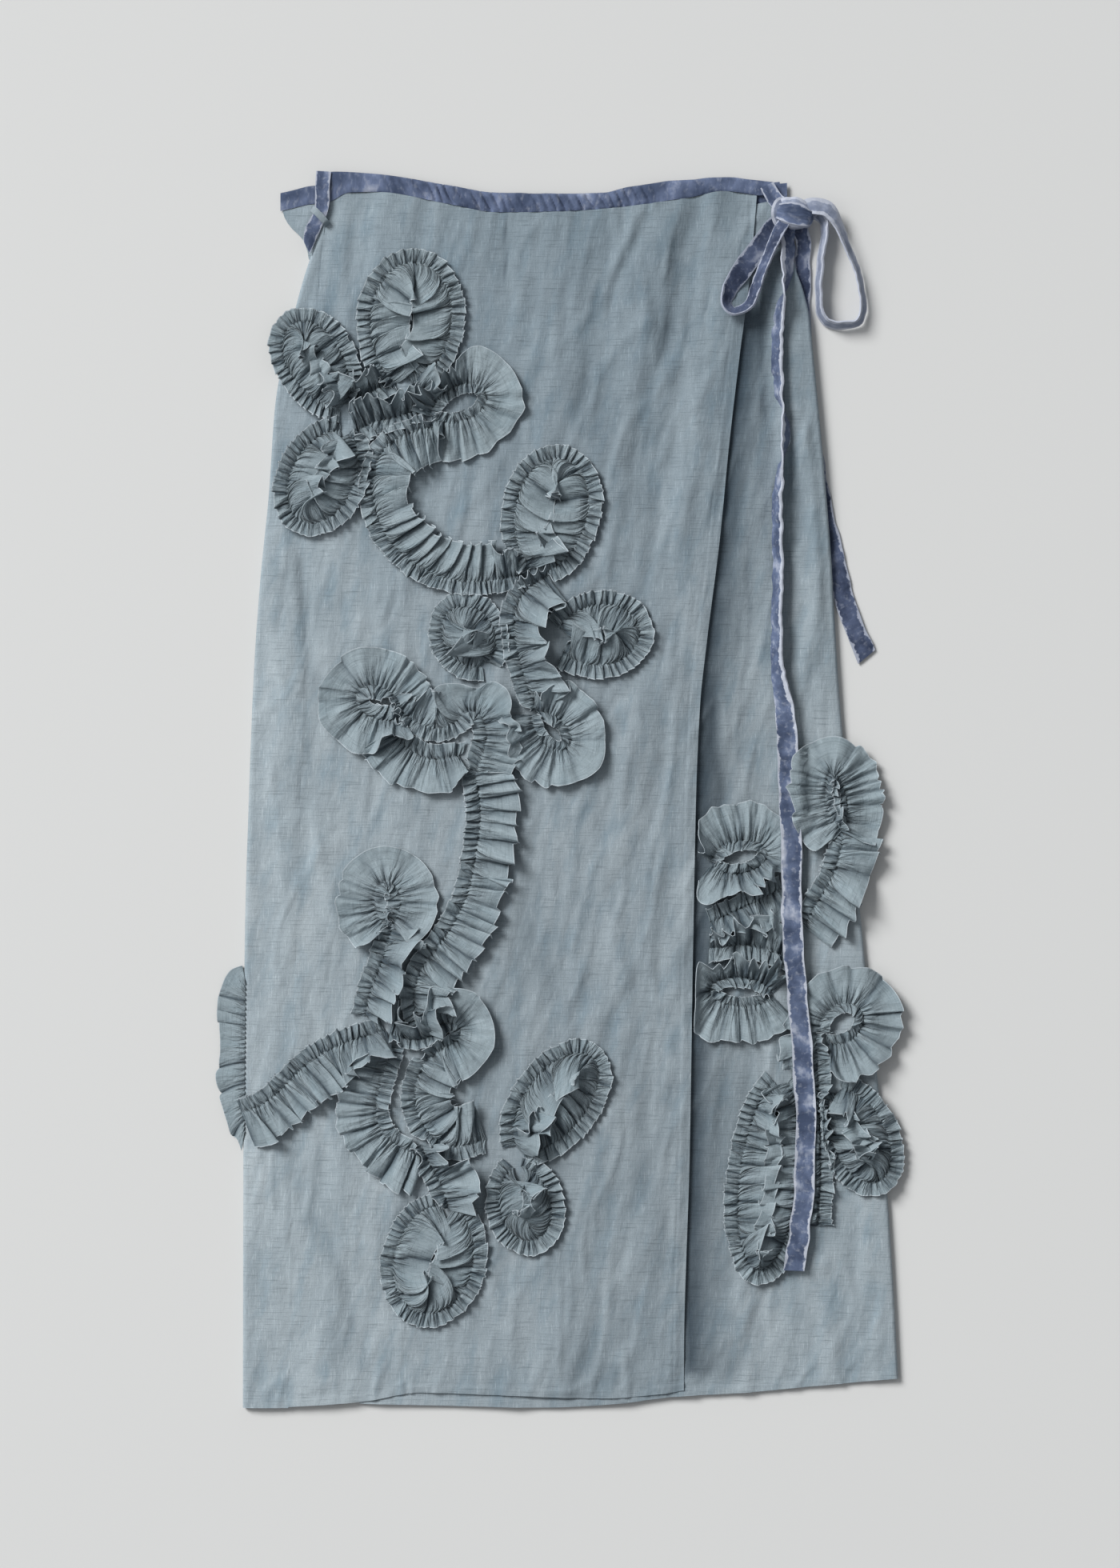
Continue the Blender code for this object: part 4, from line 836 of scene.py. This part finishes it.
def frill(strip, outward, side, crowd, chance):
    """One side of a gathered strip, from the stitching out: its points, and how much painted shade darkens
    each.
    """
    line, width = strip.line, side.width
    travelled = np.arange(len(line)) * STEP
    seeds = chance.integers(1000000, size=9)
    room = np.maximum(room_beside(line, outward, width, strip.layer, crowd), 0.5 * width)
    tips = line + outward * room[:, None]
    spread = softened(np.linalg.norm(np.gradient(tips, axis=0), axis=1) / STEP, 10)
    closing = side.closing if strip.name in [loop.name for loop in LOOPS] else STEM_CLOSING
    crests, leaning, shares = pleats(travelled, side.gap * np.clip(spread, 0.3, 1.5) ** closing, chance)
    number = np.interp(travelled, crests, np.arange(len(crests)))
    at = lambda values: softened(np.interp(travelled, crests, values), 3)
    bulk, stand, tall, flop, sharp, deep = (at(values) for values in shares)
    leaning = at(leaning)
    gap = softened(np.interp(travelled, crests, np.gradient(crests)), 6)

    # How high each pleat stands and how far it leans, from the cloth to spare between its two creases
    spare = 0.5 * gap * FULLNESS * (0.82 + 0.3 * bulk)
    folded = ease((FULLNESS / np.maximum(spread, 0.2) - 0.95) / 0.7)
    folded = np.maximum(folded, 0.62 * ease((sharp - 0.66) / 0.12))
    height = np.minimum(spare * (0.24 + 0.34 * stand) * folded + 0.2 * gap * (1 - folded), side.pleat)
    lean = np.sqrt(np.maximum(spare**2 - height**2, 0)) * leaning * folded
    lean = np.clip(lean / np.clip(spread, 0.45, 2.2), -1.1 * gap, 1.1 * gap)
    crowded = np.clip((width - room) / (0.4 * width), 0, 1)

    # Crests, valleys and half pleats, by how far out and how far along a point is
    out = np.array(side.shares)[:, None]
    grown = out**0.55
    phase = number + (tall - 0.5) * 0.42 * out + 0.04 * cloud(travelled, out * 30, 7, seeds[0])
    from_crest = 2 * np.abs((phase + 0.5) % 1 - 0.5)
    crest = 0.6 * (1 - from_crest) + 0.4 * np.abs(np.cos(math.pi * phase))
    valley = np.exp(-(1 - from_crest) * 0.5 * gap * (1 + (spread - 1) * out) / 0.9)
    valley = valley * (1 - 0.3 * out) * (0.4 + 0.9 * deep)
    half = 2 * np.abs((2 * phase + 0.4 * bulk + 0.5) % 1 - 0.5)
    reaching = np.exp(-((out / (0.45 + 0.35 * flop)) ** 3)) * (1 - np.exp(-out / 0.08))
    half_wave = (1 - half) * reaching * side.wave * (0.4 + 1.1 * deep)

    # The gathering's own crinkles, which fade away from the stitching
    fine_phase = travelled / CRINKLE + 0.6 * cloud(travelled, 0, 4.2, seeds[1])
    fading_length = 3.4 + 5.0 * (0.5 + 0.5 * cloud(travelled, 0, 3.3, seeds[2])) ** 2
    fading = np.exp(-((out * width / fading_length) ** 1.6))
    depth = CRINKLE_DEPTH * (0.7 + 0.5 * cloud(travelled, 0, 5, seeds[3]) ** 2 + 0.25 * stand)
    pinch = np.abs(np.cos(math.pi * (fine_phase + 0.2 * out)))
    fine = depth * (2 * pinch - 1) * fading

    # How far out each point reaches: less where there is no room, and ragged at the cut edge
    zigzag = 4 * np.abs((phase + 0.12 + 0.1 * cloud(travelled, out * 9, 11, seeds[7])) % 1 - 0.5) - 1
    pointed = 1 + 0.36 * crowded * zigzag * (0.2 + 1.0 * sharp)
    arched = room * (1 + (flop - 0.5) * (0.85 * crowded + 0.1)) * pointed
    arched = arched * (out + 0.1 * np.sin(math.pi * out))
    reach = width * out * (1 - crowded) + arched * crowded
    reach = np.minimum(reach, np.maximum(room * 1.25 + 1.5, 3.0))
    if side is NARROW and strip.name in OPEN_CENTRES:
        reach = reach * (1 - 0.3 * out)
    stepped = (2 * ((phase + 0.5) % 1) - 1) * np.sign(leaning) * (0.3 + stand) * folded
    ragged = (deep - 0.5) * 0.16 + 0.04 * cloud(travelled, 0, 5.5, seeds[4])
    reach = reach * (1 + (ragged + 0.085 * stepped - 0.07 * from_crest * np.clip(spread - 0.8, 0, 1)) * out)
    shift = lean * crest * grown + 0.4 * np.sin(2 * math.pi * fine_phase) * fading
    spots = carried_out(line, outward, strip.tangents, travelled + shift, reach)

    tallest = side.stand * (0.6 + 0.6 * tall)
    rise = crowded * np.minimum(np.sqrt(np.maximum((width * out) ** 2 - reach**2, 0)), tallest * out**0.8)
    lift = 2.0 + side.lift * out + side.swell * out * cloud(travelled, out * 14, 12, seeds[5])
    crumple = side.crumple * out**0.5 * creased(travelled * spread + 5 * out, out * width, 8.5, seeds[6])
    lapped = 3.2 * crowded * (flop - 0.5) * out
    z = lift + rise + lapped + height * crest * grown + half_wave + fine + crumple - side.pinch * valley
    # Painted shade: darker in the pleats' valleys and troughs, in the crinkles by the stitching and deep
    # inside crowded loops.
    trough = np.clip(1 - crest, 0, 1) ** 2 * folded * grown
    hollow = 0.9 * valley + 0.5 * trough + 0.35 * half**3 * reaching
    hollow = hollow + 0.55 * (1 - pinch) ** 1.3 * fading + 0.4 * crowded * (1 - out)
    return np.concatenate([spots, z[..., None]], axis=-1), hollow


def carried_out(line, outward, tangents, place, reach):
    """Points beside the line, where place is how far along it and reach how far out from it."""
    travelled = np.arange(len(line)) * STEP
    place = np.clip(place, -12, travelled[-1] + 12)
    inside = np.clip(place, 0, travelled[-1])
    pick = lambda values: together(*(np.interp(inside, travelled, column) for column in values.T))
    way = pick(outward)
    way /= np.linalg.norm(way, axis=-1)[..., None]
    return pick(line) + way * reach[..., None] + pick(tangents) * (place - inside)[..., None]


def rest_height(x, y, layer):
    """The height that a strip lies at: its panel's top, held level past the folds."""
    if layer == "under":
        past = ease((x - along(RIGHT_FOLD, y) + 2) / 15)
        x = np.minimum(x, along(RIGHT_FOLD, y) - 4)
        return (under_top(x, y) + 0.8 * np.maximum(0, under_detail(x, y))) * (1 - 0.7 * past)
    x = np.maximum(x, along(LEFT_FOLD, y) + 4)
    return front_top(x, y) + 0.8 * np.maximum(0, front_detail(x, y))


def clear_of_the_tie(points, over, name):
    """Keeps a frill's points under the long tie, but for the one frill that laps over it."""
    x, y, z = points[..., 0], points[..., 1], points[..., 2]
    from_tie = np.abs(x - np.interp(-y, -LONG_PATH[:, 1], LONG_PATH[:, 0]))
    if name == OVER_THE_TIE:
        return np.maximum(z, 14.5 * ease((14 - from_tie) / 5) * ease((y + 22) / 6))
    beside, past_end = ease((from_tie - 9) / 9), ease((LONG_PATH[-1, 1] - 4 - y) / 8)
    return np.minimum(z, np.maximum(over + 0.5, 8.7 + 16 * np.maximum(beside, past_end)))


def ruffle(number, strip, crowd):
    """One gathered strip: the narrow frill, the line of stitching and the wide frill in one sheet."""
    chance = np.random.default_rng(1000 + number)
    way = 1 if strip.wide_left else -1
    outward = np.column_stack([-strip.tangents[:, 1], strip.tangents[:, 0]]) * way
    wide, wide_hollow = frill(strip, outward, WIDE, crowd, chance)
    narrow, narrow_hollow = frill(strip, -outward, NARROW, crowd, chance)
    points, hollow = np.concatenate([narrow[::-1], wide]), np.concatenate([narrow_hollow[::-1], wide_hollow])
    over = rest_height(points[..., 0], points[..., 1], strip.layer)
    count = np.arange(len(strip.line))
    z = points[..., 2] * (0.45 + 0.55 * ease(np.minimum(count, count[::-1]) * STEP / 7))
    from_line = np.abs(np.arange(len(points)) - len(NARROW.shares))[:, None] / (len(WIDE.shares) - 1)
    z = np.maximum(z + (number * 7 % 3) * 0.9 * from_line, 0.45) + over
    z -= np.maximum(0, z - PRESSED_ABOVE) * 0.6
    points[..., 2] = np.minimum(z, HIGHEST)
    if strip.layer == "under":
        beside = points[..., 0] - along(FRONT_EDGE, points[..., 1]) - 0.8
        points[..., 0] += np.where(beside < 4, 4 * np.exp((beside - 4) / 4) - beside, 0)
        points[..., 2] = clear_of_the_tie(points, over, strip.name)
    across = [-NARROW.width * s for s in NARROW.shares[::-1]] + [WIDE.width * s for s in WIDE.shares]
    threads = together(*np.meshgrid(count * STEP * FULLNESS + 300 * number, across))
    name = "ruffle_" + strip.name
    piece = dress(name + "_cloth", [name], RUFFLE, RUFFLE_WALL, points, threads,
                  turned=not strip.wide_left, hollow=hollow)


def ruffles():
    strips = list(gathered_strips())
    for layer in ("front", "under"):
        crowd = np.vstack([strip.line[::3] for strip in strips if strip.layer == layer])
        for number, strip in enumerate(strips):
            if strip.layer == layer:
                ruffle(number, strip, crowd)


def edge_frill():
    """The frill that shows past the left fold, fanned out from the fold beside the floor."""
    y = np.linspace(EDGE_FRILL_TOP, EDGE_FRILL_BOTTOM, 240)[None, :]
    out = np.linspace(0, 1, 12)[:, None]
    middle = (EDGE_FRILL_TOP + EDGE_FRILL_BOTTOM) / 2
    root_y = middle + 0.82 * (y - middle)
    reach = 1 + along(EDGE_FRILL_REACH, y) * (1 + 0.03 * cloud(y, out, 7, 301))
    crests = math.pi * (y / 19 + 0.7 * cloud(y, 0, 23, 302) + 0.25 * out)
    crest = np.abs(np.cos(crests))
    fine = 0.8 * np.cos(2 * math.pi * y / 4.1 + 2 * cloud(y, 0, 6, 303)) * np.exp(-out * 4)
    x = along(LEFT_FOLD, root_y) + 1.0 - reach * out
    z = np.maximum(0.5, 4.4 * (1 - out) ** 1.4 + 0.6 + 2.6 * crest * out**0.6 + fine)
    points = together(x, root_y + (y - root_y) * out + 2.0 * np.sin(2 * crests) * out, z)
    # Painted shade: darker between the frill's crests.
    threads, hollow = together(-1.6 * y, WIDE.width * out), 0.15 + 0.8 * bell(crest / 0.3)
    piece = dress("ruffle_edge_cloth", ["ruffle_edge"], RUFFLE, RUFFLE_WALL, points, threads,
                  turned=True, hollow=hollow)


class Finish:
    """A material, and short ways to add to its nodes."""

    def __init__(self, name, slot=None):
        self.slot = slot
        self.material = bpy.data.materials.new(name)
        self.material.use_nodes = True
        self.tree = self.material.node_tree
        self.shader = self.tree.nodes["Principled BSDF"]

    def give(self, socket, value):
        """Sets an input, or links another node's output to it."""
        if isinstance(value, bpy.types.NodeSocket):
            self.tree.links.new(value, socket)
        else:
            socket.default_value = value

    def node(self, kind, result, **inputs):
        """The output of a new node whose settings and inputs are given by name."""
        made = self.tree.nodes.new("ShaderNode" + kind)
        for key, value in inputs.items():
            if hasattr(made, key):
                setattr(made, key, value)
            else:
                self.give(made.inputs[key.replace("_", " ")], value)
        return made.outputs[result]

    def show(self, **sockets):
        """Gives the shader its looks, each by the name of its input."""
        for key, value in sockets.items():
            self.give(self.shader.inputs[key.replace("_", " ")], value)


class Cloth(Finish):
    """A finish that follows the cloth's threads: the UV map runs along and across them, in metres."""

    def __init__(self, name, slot):
        super().__init__(name, slot)
        self.threads = self.node("UVMap", "UV", uv_map="threads")
        self.along = self.node("SeparateXYZ", "X", Vector=self.threads)
        self.across = self.along.node.outputs["Y"]

    def noise(self, scale, detail=2.0, lean=0.0):
        """Noise with so many swells to a metre each way, turned by lean."""
        turned = self.node("Mapping", "Vector", vector_type="TEXTURE", Vector=self.threads,
                           Rotation=(0, 0, math.radians(lean)), Scale=(1 / scale[0], 1 / scale[1], 1))
        return self.node("TexNoise", "Fac", Vector=turned, Scale=1.0, Detail=detail, Roughness=0.55)

    def mix(self, share, first, second, blend="MIX"):
        mix = self.tree.nodes.new("ShaderNodeMix")
        mix.data_type, mix.blend_type = "RGBA", blend
        self.give(mix.inputs["Factor"], share)
        for socket, value in zip([s for s in mix.inputs if s.type == "RGBA"], (first, second)):
            self.give(socket, (*value, 1) if isinstance(value, tuple) else value)
        return [s for s in mix.outputs if s.type == "RGBA"][0]

    def mixed(self, share, first, second, low=0.0, high=1.0):
        """A colour between two, by a share that low and high stretch."""
        share = self.node("MapRange", "Result", Value=share, From_Min=low, From_Max=high)
        return self.mix(share, first, second)

    def tinted(self, colour, tint):
        """The colour multiplied by a tint."""
        return self.mix(1, colour, tint, "MULTIPLY")

    def bumped(self, height, strength, distance, below=None):
        normal = {"Normal": below} if below else {}
        return self.node("Bump", "Normal", Height=height, Strength=strength, Distance=distance, **normal)

    def worked(self, kind, first, second=0.0):
        """A small sum on a value, such as its distance from another."""
        sum_of = self.tree.nodes.new("ShaderNodeMath")
        sum_of.operation = kind
        self.give(sum_of.inputs[0], first)
        self.give(sum_of.inputs[1], second)
        return sum_of.outputs["Value"]

    def ridged(self, noise):
        """Noise folded at its middle, so that it has sharp creases."""
        return self.worked("ABSOLUTE", self.worked("SUBTRACT", noise, 0.5))

    def stretched(self, value, low, high, first=0.0, second=1.0):
        """A value eased from first to second as it goes from low to high."""
        return self.node("MapRange", "Result", interpolation_type="SMOOTHSTEP", Value=value,
                         From_Min=low, From_Max=high, To_Min=first, To_Max=second)


def woven(name, slot, pale, deep, blue, contrast, crumple):
    """Plain-woven ramie: cloudy dye, slubs both ways, a fine even weave, small crumples and painted shade
    from an attribute.
    """
    cloth = Cloth(name, slot)
    slub_down, slub_over = cloth.noise((1100, 90)), cloth.noise((60, 1100))
    colour = cloth.mixed(cloth.noise((30, 12), 7, -8), deep, pale, 0.5 - 0.5 * contrast, 0.5 + 0.5 * contrast)
    colour = cloth.mixed(cloth.noise((75, 26), 5, -14), colour, blue, 0.5, 0.82)
    lighter = tuple(min(1, part * 1.35) for part in pale)
    darker = tuple(part * 0.6 for part in deep)
    colour = cloth.mixed(cloth.noise((1300, 1100), 1), colour, darker, 0.5, 1.3)
    colour = cloth.mixed(slub_down, colour, lighter, 0.56, 0.96)
    colour = cloth.mixed(slub_over, colour, darker, 0.54, 0.88)
    # Painted shade: the colour darkens towards this tint by the piece's stored shade attribute, in folds,
    # creases and beside edges.
    hollow = cloth.node("Attribute", "Fac", attribute_name="hollow")
    cloth.colour = cloth.mixed(hollow, colour, cloth.tinted(colour, (0.22, 0.25, 0.28)))
    normal = cloth.bumped(cloth.ridged(cloth.noise((75, 60))), crumple, 0.004)
    normal = cloth.bumped(cloth.ridged(cloth.noise((60, 17), 3, -16)), crumple, 0.008, normal)
    normal = cloth.bumped(slub_down, 0.5, 0.0003, normal)
    cloth.normal = cloth.bumped(slub_over, 0.5, 0.0003, normal)
    cloth.show(Base_Color=cloth.colour, Normal=cloth.normal, Roughness=0.86, Specular_IOR_Level=0.2,
               Sheen_Weight=0.12, Sheen_Roughness=0.45, Sheen_Tint=(0.85, 0.9, 0.95, 1))
    return cloth


def deepened_with_painted_falloff(cloth, deepest, middle):
    """Deepens the sheer cloth towards the waist, and paints shade over its middle, where the light falls off
    away from the left.
    """
    upward = cloth.stretched(cloth.across, 0.0, 0.34)
    colour = cloth.mixed(upward, cloth.colour, cloth.tinted(cloth.colour, deepest))
    # Painted shade: the middle is darkened, less so at the left fold and towards the right.
    from_left = cloth.stretched(cloth.along, -0.2, 0.03)
    from_right = cloth.stretched(cloth.along, 0.06, 0.16, 1.0, 0.5)
    share = cloth.worked("MULTIPLY", from_left, from_right)
    cloth.show(Base_Color=cloth.mixed(share, colour, cloth.tinted(colour, middle)))


def gathered(cloth, rim):
    """Adds what only the gathered strips have: pinched creases by the stitching, and a painted highlight as a
    thin pale line on the raw edge.
    """
    near = cloth.stretched(cloth.worked("ABSOLUTE", cloth.across), 0.0, 0.015, 1.0, 0.12)
    pinches = cloth.worked("MULTIPLY", cloth.ridged(cloth.noise((210, 34), 3)), near)
    middle, half = (WIDE.width - NARROW.width) / 2 * MM, (WIDE.width + NARROW.width) / 2 * MM
    from_middle = cloth.worked("ABSOLUTE", cloth.worked("SUBTRACT", cloth.across, middle))
    # Painted highlight: a thin pale line along the frills' raw edge.
    edge = cloth.stretched(from_middle, half - 0.0008, half - 0.0002)
    cloth.show(Base_Color=cloth.mixed(edge, cloth.colour, rim),
               Normal=cloth.bumped(pinches, 1.0, 0.009, cloth.normal))


def pile(name, deep, mid, pale, bloom=0.6):
    """Crushed velvet: pile that leans both ways in patches, with a pale bloom and pale selvedges."""
    cloth = Cloth(name, "velvet")
    crushed = cloth.noise((48, 70), 4)
    colour = cloth.mixed(crushed, deep, mid, 0.4, 0.62)
    colour = cloth.mixed(crushed, colour, pale, bloom, bloom + 0.18)
    colour = cloth.mixed(cloth.noise((300, 260), 3), colour, pale, 0.54, 1.1)
    ragged = cloth.worked("MULTIPLY", cloth.worked("SUBTRACT", cloth.noise((190, 120), 4), 0.48), 0.006)
    from_middle = cloth.worked("ADD", cloth.worked("ABSOLUTE", cloth.across), ragged)
    edge = cloth.stretched(from_middle, 0.0047, 0.0054, 0.0, 0.9)
    normal = cloth.bumped(cloth.ridged(cloth.noise((130, 60))), 0.3, 0.003)
    normal = cloth.bumped(cloth.noise((3500, 3500)), 0.5, 0.0003, normal)
    cloth.show(Base_Color=cloth.mixed(edge, colour, pale), Normal=normal, Roughness=0.75,
               Specular_IOR_Level=0.2, Sheen_Weight=0.7, Sheen_Roughness=0.32,
               Sheen_Tint=(0.62, 0.66, 0.8, 1))
    return cloth


def stage_and_light():
    """A pale paper floor, an even room, a high window at the upper left and a soft fill from the left."""
    floor = bmesh.new()
    bmesh.ops.create_grid(floor, x_segments=2, y_segments=2, size=4)
    bmesh.ops.translate(floor, verts=floor.verts, vec=(0, 0, -0.0003))
    mesh = bpy.data.meshes.new("floor")
    floor.to_mesh(mesh)
    floor.free()
    paper = Finish("floor_paper")
    paper.show(Base_Color=(0.655, 0.657, 0.647, 1), Roughness=0.9, Specular_IOR_Level=0.1)
    mesh.materials.append(paper.material)
    placed("floor", mesh)

    world = bpy.data.worlds.new("soft_room")
    bpy.context.scene.world = world
    world.use_nodes = True
    room = world.node_tree.nodes["Background"].inputs
    room["Color"].default_value = (0.93, 0.96, 1.0, 1)
    room["Strength"].default_value = 0.29
    window = bpy.data.lights.new("window", "SUN")
    window.energy = 3.35
    window.angle = math.radians(25)
    fill = bpy.data.lights.new("left_fill", "AREA")
    fill.size = 1.6
    fill.energy = 9
    for light, spot in ((window, (-1.25, 1.1, 1.3)), (fill, (-1.6, 0.3, 1.6))):
        lamp = placed(light.name, light)
        lamp.location = spot
        lamp.rotation_euler = (-Vector(spot)).to_track_quat("-Z", "Y").to_euler()


def camera():
    """Straight above the skirt, with the frame 756 mm by 1058 mm on the floor."""
    lens = bpy.data.cameras.new("above")
    lens.sensor_fit = "VERTICAL"
    lens.sensor_height = 36
    lens.lens = 36 * 2.6 / 1.0584
    eye = placed("above", lens)
    eye.location = (-0.54 * MM, 4.32 * MM, 2.605)
    bpy.context.scene.camera = eye
    bpy.context.scene.view_settings.view_transform = "Standard"


camera()
stage_and_light()
RAMIE = woven(
    "ramie_blue_grey", "ramie",
    (0.41, 0.465, 0.493), (0.28, 0.336, 0.37), (0.227, 0.306, 0.357), 0.42, 0.16,
)
# Darker towards the waist, and painted shade over the panels' middle.
deepened_with_painted_falloff(RAMIE, (0.82, 0.86, 0.89), (0.75, 0.765, 0.78))
RUFFLE = woven(
    "ramie_ruffle", "ruffle_cloth",
    (0.312, 0.373, 0.404), (0.238, 0.294, 0.32), (0.217, 0.286, 0.322), 0.6, 0.4,
)
# This paler colour is the painted highlight along the ruffles' raw edge.
gathered(RUFFLE, (0.42, 0.475, 0.51))
VELVET = pile("velvet_dusk_blue", (0.05, 0.07, 0.125), (0.14, 0.178, 0.285), (0.42, 0.45, 0.53))
# A paler copy of the velvet, as painted sheen, for the bow's right loop and the knot's turns.
SHEEN_PAINTED_VELVET = pile("velvet_painted_sheen", (0.17, 0.20, 0.28), (0.285, 0.32, 0.41), (0.46, 0.49, 0.565))
# A darker copy of the velvet, as painted shade, for the bow's left loop and the short tie, which lie in
# shadow.
SHADOW_PAINTED_VELVET = pile("velvet_painted_shadow", (0.03, 0.042, 0.08), (0.09, 0.116, 0.195), (0.36, 0.39, 0.47))
CRUSHED = pile("velvet_crushed", (0.055, 0.076, 0.135), (0.14, 0.18, 0.285), (0.50, 0.53, 0.60), 0.55)
front_panel()
under_panel()
back_panel()
back_turn()
waistbands()
ties()
knot()
ruffles()
edge_frill()
